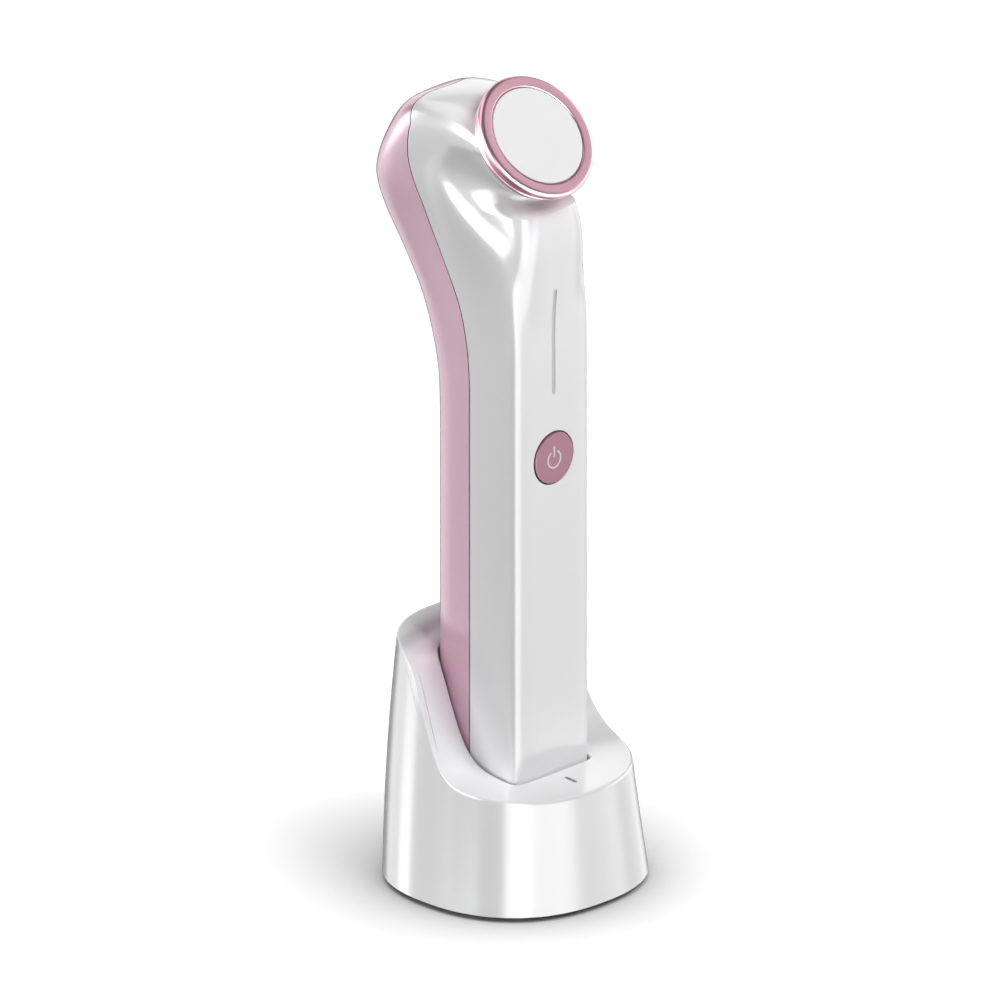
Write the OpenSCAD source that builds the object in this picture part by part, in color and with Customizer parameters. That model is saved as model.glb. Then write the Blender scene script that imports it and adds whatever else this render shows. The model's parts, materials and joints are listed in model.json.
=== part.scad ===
// Facial toning device: a handset with a swept-back head, standing in a charging dock.
// Millimetres, +Z up. The front of the object faces -Y, its right side is +X.
// The origin is the centre of the dock's foot, on the surface that it stands on.

/* [Handset] */
// Width of the handle, side to side
handle_w = 27; // [25:0.5:31]
// Depth of the handle, front to back
handle_d = 30; // [28:0.2:34]
// Height of the plate's centre above the handset's lower end
plate_rise = 185.4; // [180:0.2:200]
// Setback of the plate's centre from the handle's front
plate_setback = 5.4; // [4:0.2:8]
// Angle of the plate's axis above the horizontal
head_tilt = 42; // [38:1:46]
// Radius of the neck behind the head ring
neck_r = 13; // [12.6:0.1:14]
// Wall of the two casings
casing_wall = 1.8; // [1.4:0.1:2.2]
// Distance of the parting line behind the handle's middle
seam_back = 1.1; // [0.5:0.1:3]
// Gap between the two casings along the parting line
seam_gap = 0.3; // [0.1:0.05:0.4]

/* [Treatment head] */
// Radius of the treatment plate's face
plate_r = 13.25; // [12:0.05:13.4]
// Thickness of the treatment plate
plate_t = 2; // [1.6:0.1:2.4]
// Outer radius of the head ring
ring_r = 16.9; // [16.3:0.1:18]
// Depth of the head ring along the plate's axis
ring_depth = 5.2; // [5:0.1:6]
// Radius of the vibration motor's can
motor_r = 4; // [3:0.1:4.5]
// Length of the vibration motor's can
motor_len = 10; // [8:0.5:10.5]

/* [Button and indicator] */
// Height of the power button above the handset's lower end
button_rise = 100; // [92:1:106]
// Radius of the power button
button_r = 6.8; // [5.5:0.1:7.5]
// Travel of the power button
button_travel = 0.4; // [0.2:0.05:0.6]
// Height of the indicator's lower end above the handset's lower end
slit_rise = 117; // [114:1:121]
// Length of the indicator
slit_len = 28.5; // [20:0.5:30]
// Width of the indicator
slit_w = 1.1; // [0.6:0.1:1.4]

/* [Handset inside] */
// Radius of the battery cell
cell_r = 7.1; // [6:0.1:7.1]
// Length of the battery cell
cell_len = 50; // [40:1:52]
// Thickness of the circuit boards
board_t = 1; // [0.8:0.1:1.2]
// Half the distance between the charge contacts
contact_x = 5; // [4:0.5:7]
// Radius of a charge contact's face
contact_r = 2; // [1.5:0.1:2.4]

/* [Dock] */
// Width of the dock at its lower edge
dock_w = 64.4; // [62:0.2:70]
// Reach of the dock's lower edge in front of the handle's axis
dock_front = 33.3; // [32:0.1:36]
// Reach of the dock's lower edge behind the handle's axis
dock_back = 30; // [29:0.1:34]
// Wall of the dock
dock_wall = 2.4; // [2:0.1:2.8]
// Height of the dock's front lip
lip_h = 30.4; // [29:0.2:34]
// Rise from the front lip to the top of the back
back_rise = 30.5; // [26:0.5:34]
// Height of the well's floor, on which the handset stands
well_floor = 15.9; // [15.5:0.1:18]
// Clearance around the handset in the well
well_gap = 0.5; // [0.3:0.05:0.8]
// Thickness of the foot pad
foot_t = 1.6; // [1.4:0.1:2]

/* [Hidden] */

$fn = 48;
fit = 0.05;          // clearance between pieces that sit on or in each other
slack = 0.3;         // clearance of the inner frame in the casings
seat_gap = 0.1;      // between the handset's lower end and the well's floor
eps = 0.01;

// --- Places that more than one piece uses -------------------------------------------------
base_z = well_floor + seat_gap;                    // lower end of the handset
face_y = -handle_d / 2;                            // the handle's front
plate_y = face_y + plate_setback;
plate_z = base_z + plate_rise;
axis_yz = [-cos(head_tilt), sin(head_tilt)];       // the plate's axis, in Y and Z
up_yz = [sin(head_tilt), cos(head_tilt)];          // across the plate, upwards
pivot_drop = 21;                                   // from the plate's axis down to the fan's pivot
pivot = [plate_y, plate_z] - ring_depth * axis_yz - pivot_drop * up_yz;
fan_end = 24;                                      // station of the neck's mouth
fan_rate = (90 - head_tilt) / fan_end;             // degrees of turn for one unit of station

// --- Cross-sections of the handset --------------------------------------------------------
// A section lies in a level plane below the pivot, and above it in a plane that turns about
// the pivot until it is square to the plate's axis. Along a section the depth t is measured
// from the pivot's line. Rows give, for one station: nose (front line) and shoulder (where
// the side faces end) behind the handle's front, the widest place, how far the back swells
// out, how far the sides swell out, how much narrower the nose is, the nose's fullness, the
// squareness of the shoulders, the fillet between nose and shoulders, and the parting line's
// share of the way from the widest place to the back.
front_t = face_y - pivot[0];
back_t = handle_d / 2 - pivot[0];
mouth_row = [fan_end, pivot_drop - neck_r - front_t, pivot_drop - neck_r - front_t + 5,
    pivot_drop - front_t, pivot_drop + neck_r - back_t, neck_r - handle_w / 2, 0, 2, 2, 2, 1];
seam_share = seam_back / (handle_d / 2);
section_rows = [
    // station, nose, shoulder, widest, back, side, throat, fullness, squareness, fillet, parting
    [-67, 3, 0, 15, 0, 0, 0, 5, 12, 2, seam_share],
    [-57, 3, 0, 15, 0.1, 0, 0, 5, 12, 2, seam_share],
    [-47, 3, 0, 15, 0.7, 0, 0, 5, 12, 2, seam_share],
    [-37, 2.2, 0, 15.5, 3.2, 0, 0.1, 4.8, 12, 2, 0.09],
    [-27, 0.2, 0.4, 18, 7.3, 0, 0.1, 5, 12, 2.5, 0.09],
    [-17, -0.9, 2.4, 22.8, 13.7, 0, 0.1, 5.4, 12, 5, 0.1],
    [-8, -1.5, 7.4, 28.1, 20, 0.1, 0.4, 5.2, 11, 10, 0.08],
    [0, -0.6, 19.5, 32.6, 22.7, 0.3, 0.8, 4.1, 9, 13, 0.08],
    [6, 1.4, 24, 33.1, 20.7, 0.4, 0.8, 2.7, 4, 15, 0.3],
    [12, 2.8, 22, 29.6, 17.4, 0.4, 0.8, 2.1, 2.8, 14, 0.6],
    [18, 3.2, 16, 23.1, 8.7, 0.2, 0.8, 2.1, 2.6, 8, 1],
    mouth_row
];
seam_top = 16;                                     // station where the parting line crosses the top
seam_bend = 11;                                    // from here it bends over into that arch
back_fullness = 5.4;                               // squareness of the back corners
step_straight = 5;
step_fan = 1.5;

// Smooth curve through the rows, at station s
function slope(i, c) = let (
    a = max(i - 1, 0), b = min(i + 1, len(section_rows) - 1)
) (section_rows[b][c] - section_rows[a][c]) / (section_rows[b][0] - section_rows[a][0]);
function row_below(s, i = 0) =
    i >= len(section_rows) - 2 || section_rows[i + 1][0] > s ? i : row_below(s, i + 1);
function curve(s, c) = s <= section_rows[0][0] ? section_rows[0][c] : let (
    i = row_below(s),
    h = section_rows[i + 1][0] - section_rows[i][0],
    u = (s - section_rows[i][0]) / h,
    p = section_rows[i][c], q = section_rows[i + 1][c]
) p + (q - p) * (3 * u * u - 2 * u * u * u)
    + h * slope(i, c) * u * (1 - u) * (1 - u) - h * slope(i + 1, c) * u * u * (1 - u);

// A section at station s, drawn in by inset:
// [nose, shoulder, widest, back, half width, nose fullness, squareness of front, of back,
// half width of the nose, fillet]
function section(s, inset = 0) = let (
    fade = min(max(s / fan_end, 0), 1)
) [
    front_t + curve(s, 1) + inset,
    front_t + curve(s, 2) + inset,
    front_t + curve(s, 3),
    back_t + curve(s, 4) - inset,
    handle_w / 2 + curve(s, 5) - inset,
    curve(s, 7),
    curve(s, 8),
    back_fullness * (1 - fade) + 2 * fade,
    handle_w / 2 + curve(s, 5) - curve(s, 6) - inset,
    curve(s, 9)
];

function oval_r(c, s, reach, half, n) = pow(pow(c / reach, n) + pow(s / half, n), -1 / n);
function soft_max(a, b, k) = let (h = max(k - abs(a - b), 0) / max(k, eps)) max(a, b) + h * h * h * k / 6;
// Radius of a section about its widest place; angle 0 looks to the front, 180 to the back
function section_r(q, angle) = let (c = cos(angle), s = abs(sin(angle))) c >= 0
    ? soft_max(oval_r(c, s, q[2] - q[1], q[4], q[6]), oval_r(c, s, q[2] - q[0], q[8], q[5]), q[9] * c)
    : oval_r(-c, s, q[3] - q[2], q[4], q[7]);

// A place on station s, from its depth t and its x
function in_body(s, x, t) = s <= 0
    ? [x, pivot[0] + t, pivot[1] + s]
    : let (a = s * fan_rate) [x, pivot[0] + t * cos(a), pivot[1] + t * sin(a)];
function body_point(s, q, angle) = let (r = section_r(q, angle))
    in_body(s, r * sin(angle), q[2] - r * cos(angle));

// Angle of the parting line on a section; 180 from its arch's top on. A gap moves it inwards.
function seam_angle(s, q, gap = 0) = let (
    top = seam_top - gap / 1.6, p = section(s),
    f = min(curve(s, 10) + gap / (p[3] - p[2]), 1),
    side = pow(1 - pow(f, p[7]), 1 / p[7]),
    bend = max(s - seam_bend, 0) / (top - seam_bend),
    share = side * sqrt(max(1 - bend * bend, 0)),
    behind = (q[3] - q[2]) * pow(1 - pow(min(share, 1), q[7]), 1 / q[7])
) share <= eps || s >= top ? 180 : 90 + atan2(behind, q[4] * share);
// Angles of a sheet's columns, close together at the corners, up to half a turn each way
half_columns = 27;
crowding = 8.5;
column_angles = [for (j = [-half_columns : half_columns]) let (
    a = j * 180 / half_columns
) a + crowding * sin(4 * a)];

// Level outline of the handle, at its straight lower part
function handle_outline(inset = 0, n = 48) = let (q = section(-100, inset)) [
    for (i = [0 : n - 1]) let (a = i * 360 / n, b = a + crowding * sin(4 * a), r = section_r(q, b))
        [r * sin(b), pivot[0] + q[2] - r * cos(b)]
];

// --- Casings ------------------------------------------------------------------------------
cap_t = 1.6;                                       // flange of the bottom cap
plug_h = 4;                                        // its plug, which sits inside the casings
plug_wall = 1.5;
plug_gap = 0.12;
bottom_station = base_z + cap_t + fit - pivot[1];
arch_stations = [11, 12.4, 13.6, 14.5, 15.1, 15.5, 15.65];
body_stations = concat(
    [bottom_station],
    [for (s = [-67 : step_straight : -step_straight]) s],
    [for (s = [0 : step_fan : seam_bend - 1]) s],
    arch_stations,
    [for (s = [seam_top : step_fan : fan_end - 1]) s],
    [fan_end]
);

// A closed sheet of casing around the angle `facing`, through the stations. It has two edges,
// each at the row's limit angle, until the limit reaches half a turn and they meet. Columns
// that would lie past a limit end in the edge.
module casing_sheet(stations, facing, gap, snap = 0.6) {
    cols = len(column_angles);
    rows = len(stations);
    sections = [for (inset = [0, casing_wall]) [for (s = stations) section(s, inset)]];
    limits = [for (side = sections) [for (i = [0 : rows - 1]) let (
        edge = seam_angle(stations[i], side[i], gap)
    ) facing == 0 ? edge : 180 - edge]];
    function id(side, i, j) = let (limit = limits[side][i]) side * rows * cols + i * cols
        + (column_angles[j] >= limit - snap ? (limit == 180 ? 0 : cols - 1)
            : column_angles[j] <= snap - limit ? 0 : j);
    spots = [for (side = [0, 1], i = [0 : rows - 1], a = column_angles) let (limit = limits[side][i])
        body_point(stations[i], sections[side][i], facing + min(max(a, -limit), limit))];
    function quad(a, b, c, d, turned = false) = turned ? [[a, b, d], [a, d, c]] : [[a, b, c], [b, d, c]];
    bands = [for (i = [0 : rows - 2], j = [0 : cols - 2], side = [0, 1]) let (
        left = (facing == 0) == (j < half_columns)
    ) side == 0
        ? quad(id(0, i, j), id(0, i + 1, j), id(0, i, j + 1), id(0, i + 1, j + 1), left)
        : quad(id(1, i, j + 1), id(1, i + 1, j + 1), id(1, i, j), id(1, i + 1, j), !left)];
    ends = [for (j = [0 : cols - 2], i = [0, rows - 1]) i == 0
        ? [[id(0, 0, j), id(0, 0, j + 1), id(1, 0, j)], [id(0, 0, j + 1), id(1, 0, j + 1), id(1, 0, j)]]
        : [[id(0, i, j), id(1, i, j), id(0, i, j + 1)], [id(1, i, j), id(1, i, j + 1), id(0, i, j + 1)]]];
    open_rows = [for (i = [0 : rows - 2]) if (limits[0][i] < 180) i];
    edges = [for (i = open_rows, j = [0, cols - 1]) j == 0
        ? quad(id(1, i, j), id(1, i + 1, j), id(0, i, j), id(0, i + 1, j))
        : quad(id(0, i, j), id(0, i + 1, j), id(1, i, j), id(1, i + 1, j))];
    polyhedron(points = spots, faces = [for (pair = concat(bands, ends, edges), f = pair)
        if (f[0] != f[1] && f[1] != f[2] && f[0] != f[2]) f]);
}

module front_casing_sheet() {
    casing_sheet(body_stations, 0, 0);
}

module rear_casing_sheet() {
    casing_sheet([for (s = body_stations) if (s < seam_top - seam_gap) s], 180, seam_gap);
}

// Places children on the plate's axis, +Z outwards, at the middle of the plate's face
module on_head() {
    translate([0, plate_y, plate_z]) rotate([90 - head_tilt, 0, 0]) children();
}

// The depth of the front's middle at a given height, for the indicator
function front_y(z) = body_point(z - pivot[1], section(z - pivot[1]), 0)[1];

button_z = base_z + button_rise;
slit_z = base_z + slit_rise;
button_gap = 0.3;
button_proud = 0.35;
skirt_t = 0.8;

module front_casing() {
    color("white") difference() {
        front_casing_sheet();
        translate([0, face_y + 2 * casing_wall, button_z]) rotate([90, 0, 0])
            cylinder(h = 4 * casing_wall, r = button_r + button_gap);
        translate([-slit_w / 2 - fit, face_y - 2, slit_z - fit])
            cube([slit_w + 2 * fit, 2 + 3 * casing_wall, slit_len + 2 * fit]);
    }
}

module rear_casing() {
    color([0.79, 0.65, 0.70]) rear_casing_sheet();
}

// --- Treatment head -----------------------------------------------------------------------
flange_t = 0.8;                                    // step at the plate's back edge
flange_r = plate_r + 0.85;
step_z = -plate_t + flange_t;                      // where the ring's shoulder holds the plate
seal_r = 0.65;                                     // half the seal's thickness
carrier_top = -plate_t - 2 * seal_r - 2 * fit;
spigot_r = neck_r - casing_wall - 1.6;             // clear of the neck's narrowing underside
spigot_end = -ring_depth - 5;
film_r = plate_r - 1.9;
film_t = 0.3;
lead_r = 0.5;
lead_x = 0.9;
lead_drop = 7;                                     // leads pass this far below the plate's axis
lead_hole_r = 1.7;
solder_len = 4;                                    // a lead lies this far along the board
holder_screw_at = spigot_r - 2.6;
holder_t = 1.5;
motor_z = spigot_end - holder_t - 1.2 - motor_r;   // the motor's axis, behind the plate
screw_r = 0.9;
screw_head_r = 1.7;
screw_head_t = 0.9;

module treatment_plate() {
    color([0.95, 0.95, 0.95]) on_head() rotate_extrude($fn = 96) polygon([
        [0, 0], [plate_r - 0.4, 0], [plate_r, -0.4], [plate_r, step_z],
        [flange_r, step_z], [flange_r, -plate_t], [0, -plate_t]
    ]);
}

module head_ring() {
    bore = plate_r + 0.1;
    recess = flange_r + 0.1;
    color([0.78, 0.58, 0.66]) on_head() rotate_extrude($fn = 96) polygon([
        [bore, -0.5], [bore + 0.3, -0.2], [ring_r - 1.3, 0], [ring_r - 0.6, -0.2], [ring_r - 0.2, -0.6],
        [ring_r, -1.2], [ring_r, -1.9], [ring_r - 0.5, -2.6], [ring_r - 1.0, -3.2], [ring_r - 1.1, -3.6],
        [ring_r - 0.9, -3.9], [ring_r - 0.9, -4.4], [ring_r - 1.4, -ring_depth],
        [recess, -ring_depth], [recess, step_z + fit], [bore, step_z + fit]
    ]);
}

module plate_seal() {
    color([0.2, 0.2, 0.2]) on_head() translate([0, 0, -plate_t - fit - seal_r])
        rotate_extrude($fn = 96) translate([plate_r - 0.6, 0]) circle(r = seal_r, $fn = 24);
}

module warming_film() {
    color([0.75, 0.45, 0.2]) on_head() translate([0, 0, -plate_t - fit - film_t])
        cylinder(h = film_t, r = film_r);
}

module backing_pad() {
    top = -plate_t - film_t - 2 * fit;
    color([0.55, 0.56, 0.6]) on_head() difference() {
        translate([0, 0, carrier_top + fit]) cylinder(h = top - carrier_top - fit, r = film_r);
        translate([0, -lead_drop, carrier_top]) cylinder(h = 3, r = lead_hole_r);
    }
}

module at_holder_screws() {
    for (a = [90, 210, 330]) translate([holder_screw_at * cos(a), holder_screw_at * sin(a), 0]) children();
}

module plate_carrier() {
    spigot_len = -spigot_end - ring_depth + 1;
    color([0.88, 0.88, 0.9]) on_head() difference() {
        union() {
            translate([0, 0, -ring_depth + fit]) cylinder(h = carrier_top + ring_depth - fit, r = flange_r);
            difference() {
                translate([0, 0, spigot_end]) cylinder(h = spigot_len, r = spigot_r);
                translate([0, 0, spigot_end - 1]) cylinder(h = spigot_len, r = spigot_r - 1.5);
            }
            at_holder_screws() translate([0, 0, spigot_end]) cylinder(h = spigot_len, r = 2.2);
        }
        translate([0, -lead_drop, -ring_depth - 1]) cylinder(h = 4, r = lead_hole_r);
        at_holder_screws() translate([0, 0, spigot_end - 1]) cylinder(h = 5, r = screw_r + fit, $fn = 24);
    }
}

module motor_holder() {
    block = 2 * motor_r + 2.4;
    color([0.7, 0.72, 0.75]) on_head() difference() {
        union() {
            translate([0, 0, spigot_end - fit - holder_t]) cylinder(h = holder_t, r = spigot_r - 0.2);
            translate([-motor_len / 2 + 1, -block / 2, motor_z - block / 2])
                cube([motor_len - 2, block, spigot_end - fit - motor_z + block / 2 - holder_t / 2]);
        }
        translate([-motor_len, 0, motor_z]) rotate([0, 90, 0])
            cylinder(h = 2 * motor_len, r = motor_r + fit);
        translate([0, -lead_drop, spigot_end - 4]) cylinder(h = 6, r = lead_hole_r);
        at_holder_screws() translate([0, 0, spigot_end - 4]) cylinder(h = 6, r = screw_r + fit, $fn = 24);
    }
}

module holder_screws() {
    color([0.6, 0.6, 0.62]) on_head() at_holder_screws() {
        translate([0, 0, spigot_end - holder_t - 2 * fit - screw_head_t])
            cylinder(h = screw_head_t, r = screw_head_r, $fn = 24);
        translate([0, 0, spigot_end - holder_t - 2 * fit - eps]) cylinder(h = 5, r = screw_r, $fn = 24);
    }
}

shaft_r = 0.75;
shaft_len = 4.2;
weight_gap = 0.8;
weight_len = 3;
weight_r = motor_r - 0.4;

module motor_can() {
    color([0.72, 0.72, 0.74]) on_head() translate([-motor_len / 2, 0, motor_z]) rotate([0, 90, 0])
        difference() {
            cylinder(h = motor_len, r = motor_r);
            translate([0, 0, motor_len - 4]) cylinder(h = 5, r = shaft_r + fit, $fn = 24);
        }
}

module motor_shaft() {
    color([0.8, 0.8, 0.82]) on_head() translate([motor_len / 2 - 4 + fit, 0, motor_z]) rotate([0, 90, 0])
        cylinder(h = 4 + shaft_len, r = shaft_r, $fn = 24);
}

// The weight hangs with its heavy half down
module motor_weight() {
    color([0.5, 0.5, 0.52]) translate(from_head(motor_len / 2 + weight_gap, 0, motor_z))
        rotate([0, 90, 0]) difference() {
            cylinder(h = weight_len, r = weight_r);
            translate([0, 0, -1]) cylinder(h = weight_len + 2, r = shaft_r + 0.02, $fn = 24);
            translate([-3 * weight_r - shaft_r - 0.5, -weight_r - 1, -1])
                cube([3 * weight_r, 2 * weight_r + 2, weight_len + 2]);
        }
}

// A round lead along straight runs, with a slightly larger ball at each bend
module lead(points, r) {
    for (i = [0 : len(points) - 2]) let (v = points[i + 1] - points[i], l = norm(v)) {
        translate(points[i]) rotate([0, acos(v[2] / l), atan2(v[1], v[0])])
            cylinder(h = l, r = r, $fn = 16);
        if (i > 0) translate(points[i]) sphere(r = r * 1.15, $fn = 16);
    }
}

// A place given on the plate's axis, as a place of the whole object
function from_head(x, up, out) = let (p = [plate_y, plate_z] + up * up_yz + out * axis_yz) [x, p[0], p[1]];

module head_leads() {
    color([0.8, 0.2, 0.2]) for (side = [-1, 1]) lead([
        from_head(side * lead_x, -lead_drop, -plate_t - film_t - 2 * fit),
        from_head(side * lead_x, -lead_drop, spigot_end - 4),
        [side * head_lead_x, board_y - 1, board_top - 1],
        [side * head_lead_x, board_y - fit - lead_r, board_top - solder_len]
    ], lead_r);
}

module motor_leads() {
    color([0.2, 0.3, 0.7]) for (side = [-1, 1]) lead([
        from_head(-motor_len / 2 - fit, side * 1.5, motor_z),
        from_head(-motor_len / 2 - 2, side * 1.5, motor_z),
        [side - motor_lead_x, 3, pivot[1] - 12],
        [side - motor_lead_x, board_y - 1, board_top + 1],
        [side - motor_lead_x, board_y - fit - lead_r, board_top - solder_len]
    ], lead_r);
}

// --- Inside the handle --------------------------------------------------------------------
inner_w = handle_w / 2 - casing_wall;              // half the space between the side walls
floor_y = -5;                                      // front of the chassis' floor
floor_t = 1.4;
cap_clear = 2.4;                                   // between the cap's plug and the chassis
chassis_low = base_z + cap_t + plug_h + cap_clear;
rail_t = 1.2;
rail_front = 3;                                    // rails reach this far in front of the floor
rail_back = 13;
post_h = 2;
post_r = 2.1;
board_y = floor_y - post_h - board_t - fit;        // the board's front face
board_side = 0.8;                                  // between the board and the rails
board_half = inner_w - slack - rail_t - board_side;
motor_lead_x = board_half - 2;                     // where the motor's and the head's leads
head_lead_x = board_half - 6.1;                    // reach the board
nub_h = 1;                                         // the cell's upper pole
nub_r = cell_r * 0.4;
cell_lift = 10;                                    // the cell above the chassis' lower end
cell_low = chassis_low + cell_lift;
board_low = cell_low + 0.52 * cell_len;            // the board covers the upper half of the cell
board_top = slit_z + 0.6 * slit_len;               // and lies behind most of the indicator
board_over = 8;                                    // it stands out above the chassis
chassis_top = board_top - board_over;
screw_in = 2.4;                                    // screws from the board's sides
screw_low = 5;                                     // and from its lower end
screw_top = board_over + 6;
thread_len = 3.5;
strap_t = 0.6;
cell_y = floor_y + floor_t + strap_t + 2 * fit + cell_r;
stop_t = 1.5;
strap_w = 6;
strap_in = 8;                                      // straps from the cell's ends
battery_lead_x = inner_w - slack - rail_t - 1.1;
battery_lead_z = cell_low + 1.4 * cell_len;

module at_board_screws() {
    for (x = [-1, 1], z = [board_low + screw_low, board_top - screw_top])
        translate([x * (board_half - screw_in), 0, z]) rotate([-90, 0, 0]) children();
}

module chassis() {
    half = inner_w - slack;
    color([0.3, 0.31, 0.33]) difference() {
        union() {
            translate([-half, floor_y, chassis_low]) cube([2 * half, floor_t, chassis_top - chassis_low]);
            for (x = [-half, half - rail_t]) translate([x, floor_y - rail_front, chassis_low])
                cube([rail_t, rail_front + rail_back, chassis_top - chassis_low]);
            for (z = [cell_low - stop_t - fit, cell_low + cell_len + fit])
                translate([-cell_r, floor_y + floor_t - eps, z]) cube([2 * cell_r, cell_r * 1.35, stop_t]);
            at_board_screws() translate([0, 0, board_y + board_t + fit])
                cylinder(h = post_h + eps, r = post_r);
        }
        at_board_screws() translate([0, 0, board_y])
            cylinder(h = 2 * thread_len, r = screw_r + fit, $fn = 24);
        for (x = [-1, 1]) translate([x * battery_lead_x, floor_y - 1, battery_lead_z])
            rotate([-90, 0, 0]) cylinder(h = floor_t + 2, r = lead_r + 0.3, $fn = 24);
    }
}

module battery_cell() {
    color([0.25, 0.55, 0.75]) translate([0, cell_y, cell_low]) {
        cylinder(h = cell_len - nub_h, r = cell_r, $fn = 64);
        translate([0, 0, cell_len - nub_h - eps]) cylinder(h = nub_h + eps, r = nub_r);
    }
}

module battery_straps() {
    color([0.1, 0.1, 0.1]) for (z = [cell_low + strap_in, cell_low + cell_len - strap_in - strap_w])
        translate([0, cell_y, z]) difference() {
            cylinder(h = strap_w, r = cell_r + fit + strap_t, $fn = 64);
            translate([0, 0, -1]) cylinder(h = strap_w + 2, r = cell_r + fit, $fn = 64);
        }
}

module battery_leads() {
    end_y = cell_y + cell_r - 2;
    color([0.75, 0.15, 0.15]) {
        lead([
            [0, end_y, cell_low - fit - lead_r], [-battery_lead_x, end_y, cell_low - fit - lead_r],
            [-battery_lead_x, 0, cell_low + 0.24 * cell_len], [-battery_lead_x, 0, battery_lead_z],
            [-battery_lead_x, board_y + board_t + fit, battery_lead_z]
        ], lead_r);
        lead([
            [0, cell_y + nub_r / 2, cell_low + cell_len + stop_t + 2 * fit + lead_r],
            [battery_lead_x, 0, cell_low + 1.16 * cell_len], [battery_lead_x, 0, battery_lead_z],
            [battery_lead_x, board_y + board_t + fit, battery_lead_z]
        ], lead_r);
    }
}

module main_board() {
    color([0.1, 0.4, 0.25]) difference() {
        translate([-board_half, board_y, board_low]) cube([2 * board_half, board_t, board_top - board_low]);
        at_board_screws() translate([0, 0, board_y - 1]) cylinder(h = 4, r = screw_r + fit, $fn = 24);
    }
}

module board_screws() {
    color([0.6, 0.6, 0.62]) at_board_screws() {
        translate([0, 0, board_y - fit - screw_head_t])
            cylinder(h = screw_head_t, r = screw_head_r, $fn = 24);
        translate([0, 0, board_y - fit - eps]) cylinder(h = thread_len, r = screw_r, $fn = 24);
    }
}

// --- Button -------------------------------------------------------------------------------
switch_size = 6;
switch_h = 1.8;
plunger_r = 1.1;
plunger_out = button_travel + 0.1;                 // plunger in front of the switch
plunger_in = button_travel + 0.3;                  // plunger inside the switch at rest
button_front = face_y - button_proud;
skirt_front = face_y + casing_wall + 0.7;          // the skirt lies behind the casing's wall
skirt_r = button_r + 1;
stem_end = board_y - fit - switch_h - plunger_out;

// Cylinders along Y at the button's height, from y0 back to y1
module button_rod(y0, y1, r) {
    translate([0, y1, button_z]) rotate([90, 0, 0]) cylinder(h = y1 - y0, r = r, $fn = 64);
}

module power_button() {
    color([0.70, 0.50, 0.58]) union() {
        button_rod(button_front, skirt_front + eps, button_r);
        button_rod(skirt_front, skirt_front + skirt_t, skirt_r);
        button_rod(skirt_front + skirt_t - eps, stem_end, 1.6);
    }
}

module push_switch() {
    color([0.15, 0.15, 0.17]) difference() {
        translate([-switch_size / 2, board_y - fit - switch_h, button_z - switch_size / 2])
            cube([switch_size, switch_h, switch_size]);
        button_rod(board_y - fit - switch_h - 1, board_y - fit - 0.4, plunger_r + fit);
    }
}

module switch_plunger() {
    color([0.85, 0.85, 0.8]) button_rod(stem_end, stem_end + plunger_out + plunger_in, plunger_r);
}

module button_pad() {
    color([0.6, 0.6, 0.6]) difference() {
        button_rod(skirt_front + skirt_t + fit, board_y - fit, skirt_r - 0.8);
        button_rod(skirt_front + skirt_t - 1, board_y + 1, switch_size * 0.72);
    }
}

// --- Indicator ----------------------------------------------------------------------------
led_size = [1.6, 0.6, 0.8];

module indicator_leds() {
    color([0.95, 0.95, 0.7]) for (z = [slit_z + 3, slit_z + 6.5, slit_z + 10])
        if (z < board_top - 2) translate([-led_size[0] / 2, board_y - fit - led_size[1], z])
            cube([led_size[0], led_size[1], led_size[2]]);
}

module light_guide() {
    inside = board_y - fit - led_size[1] - slack;
    recess = 0.12;
    steps = 8;
    line = [for (i = [0 : steps]) let (z = slit_z + i * slit_len / steps) [z, front_y(z) + recess]];
    color([0.93, 0.93, 0.93]) translate([-slit_w / 2, 0, 0]) rotate([90, 0, 90]) linear_extrude(slit_w)
        polygon(concat(
            [for (p = line) [p[1], p[0]]],
            [[inside, slit_z + slit_len], [inside, slit_z]]
        ));
}

// --- Lower end of the handset -------------------------------------------------------------

module at_contacts() {
    for (x = [-contact_x, contact_x]) translate([x, 0, 0]) children();
}

module bottom_cap() {
    color("white") difference() {
        union() {
            translate([0, 0, base_z]) linear_extrude(0.5) polygon(handle_outline(0.5));
            translate([0, 0, base_z + 0.5]) linear_extrude(cap_t - 0.5) polygon(handle_outline(0.02));
            translate([0, 0, base_z + cap_t - eps]) linear_extrude(plug_h)
                difference() {
                    polygon(handle_outline(casing_wall + plug_gap));
                    polygon(handle_outline(casing_wall + plug_gap + plug_wall));
                }
        }
        at_contacts() translate([0, 0, base_z - 1]) cylinder(h = cap_t + 2, r = contact_r + fit);
    }
}

module charge_contacts() {
    color([0.85, 0.7, 0.4]) at_contacts() {
        translate([0, 0, base_z]) cylinder(h = cap_t + fit + eps, r = contact_r);
        translate([0, 0, base_z + cap_t + fit]) cylinder(h = 0.8, r = contact_r + 0.6);
    }
}

module charge_leads() {
    color([0.15, 0.15, 0.15]) for (side = [-1, 1]) lead([
        [side * contact_x, 0, base_z + cap_t + 0.8 + 2 * fit],
        [side * contact_x, 0, base_z + cap_t + 3],
        [side * contact_x, floor_y - 2, chassis_low - 2],
        [side * contact_x, board_y - 1, board_low - 4],
        [side * contact_x, board_y - fit - lead_r, board_low + 3]
    ], lead_r);
}

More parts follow.
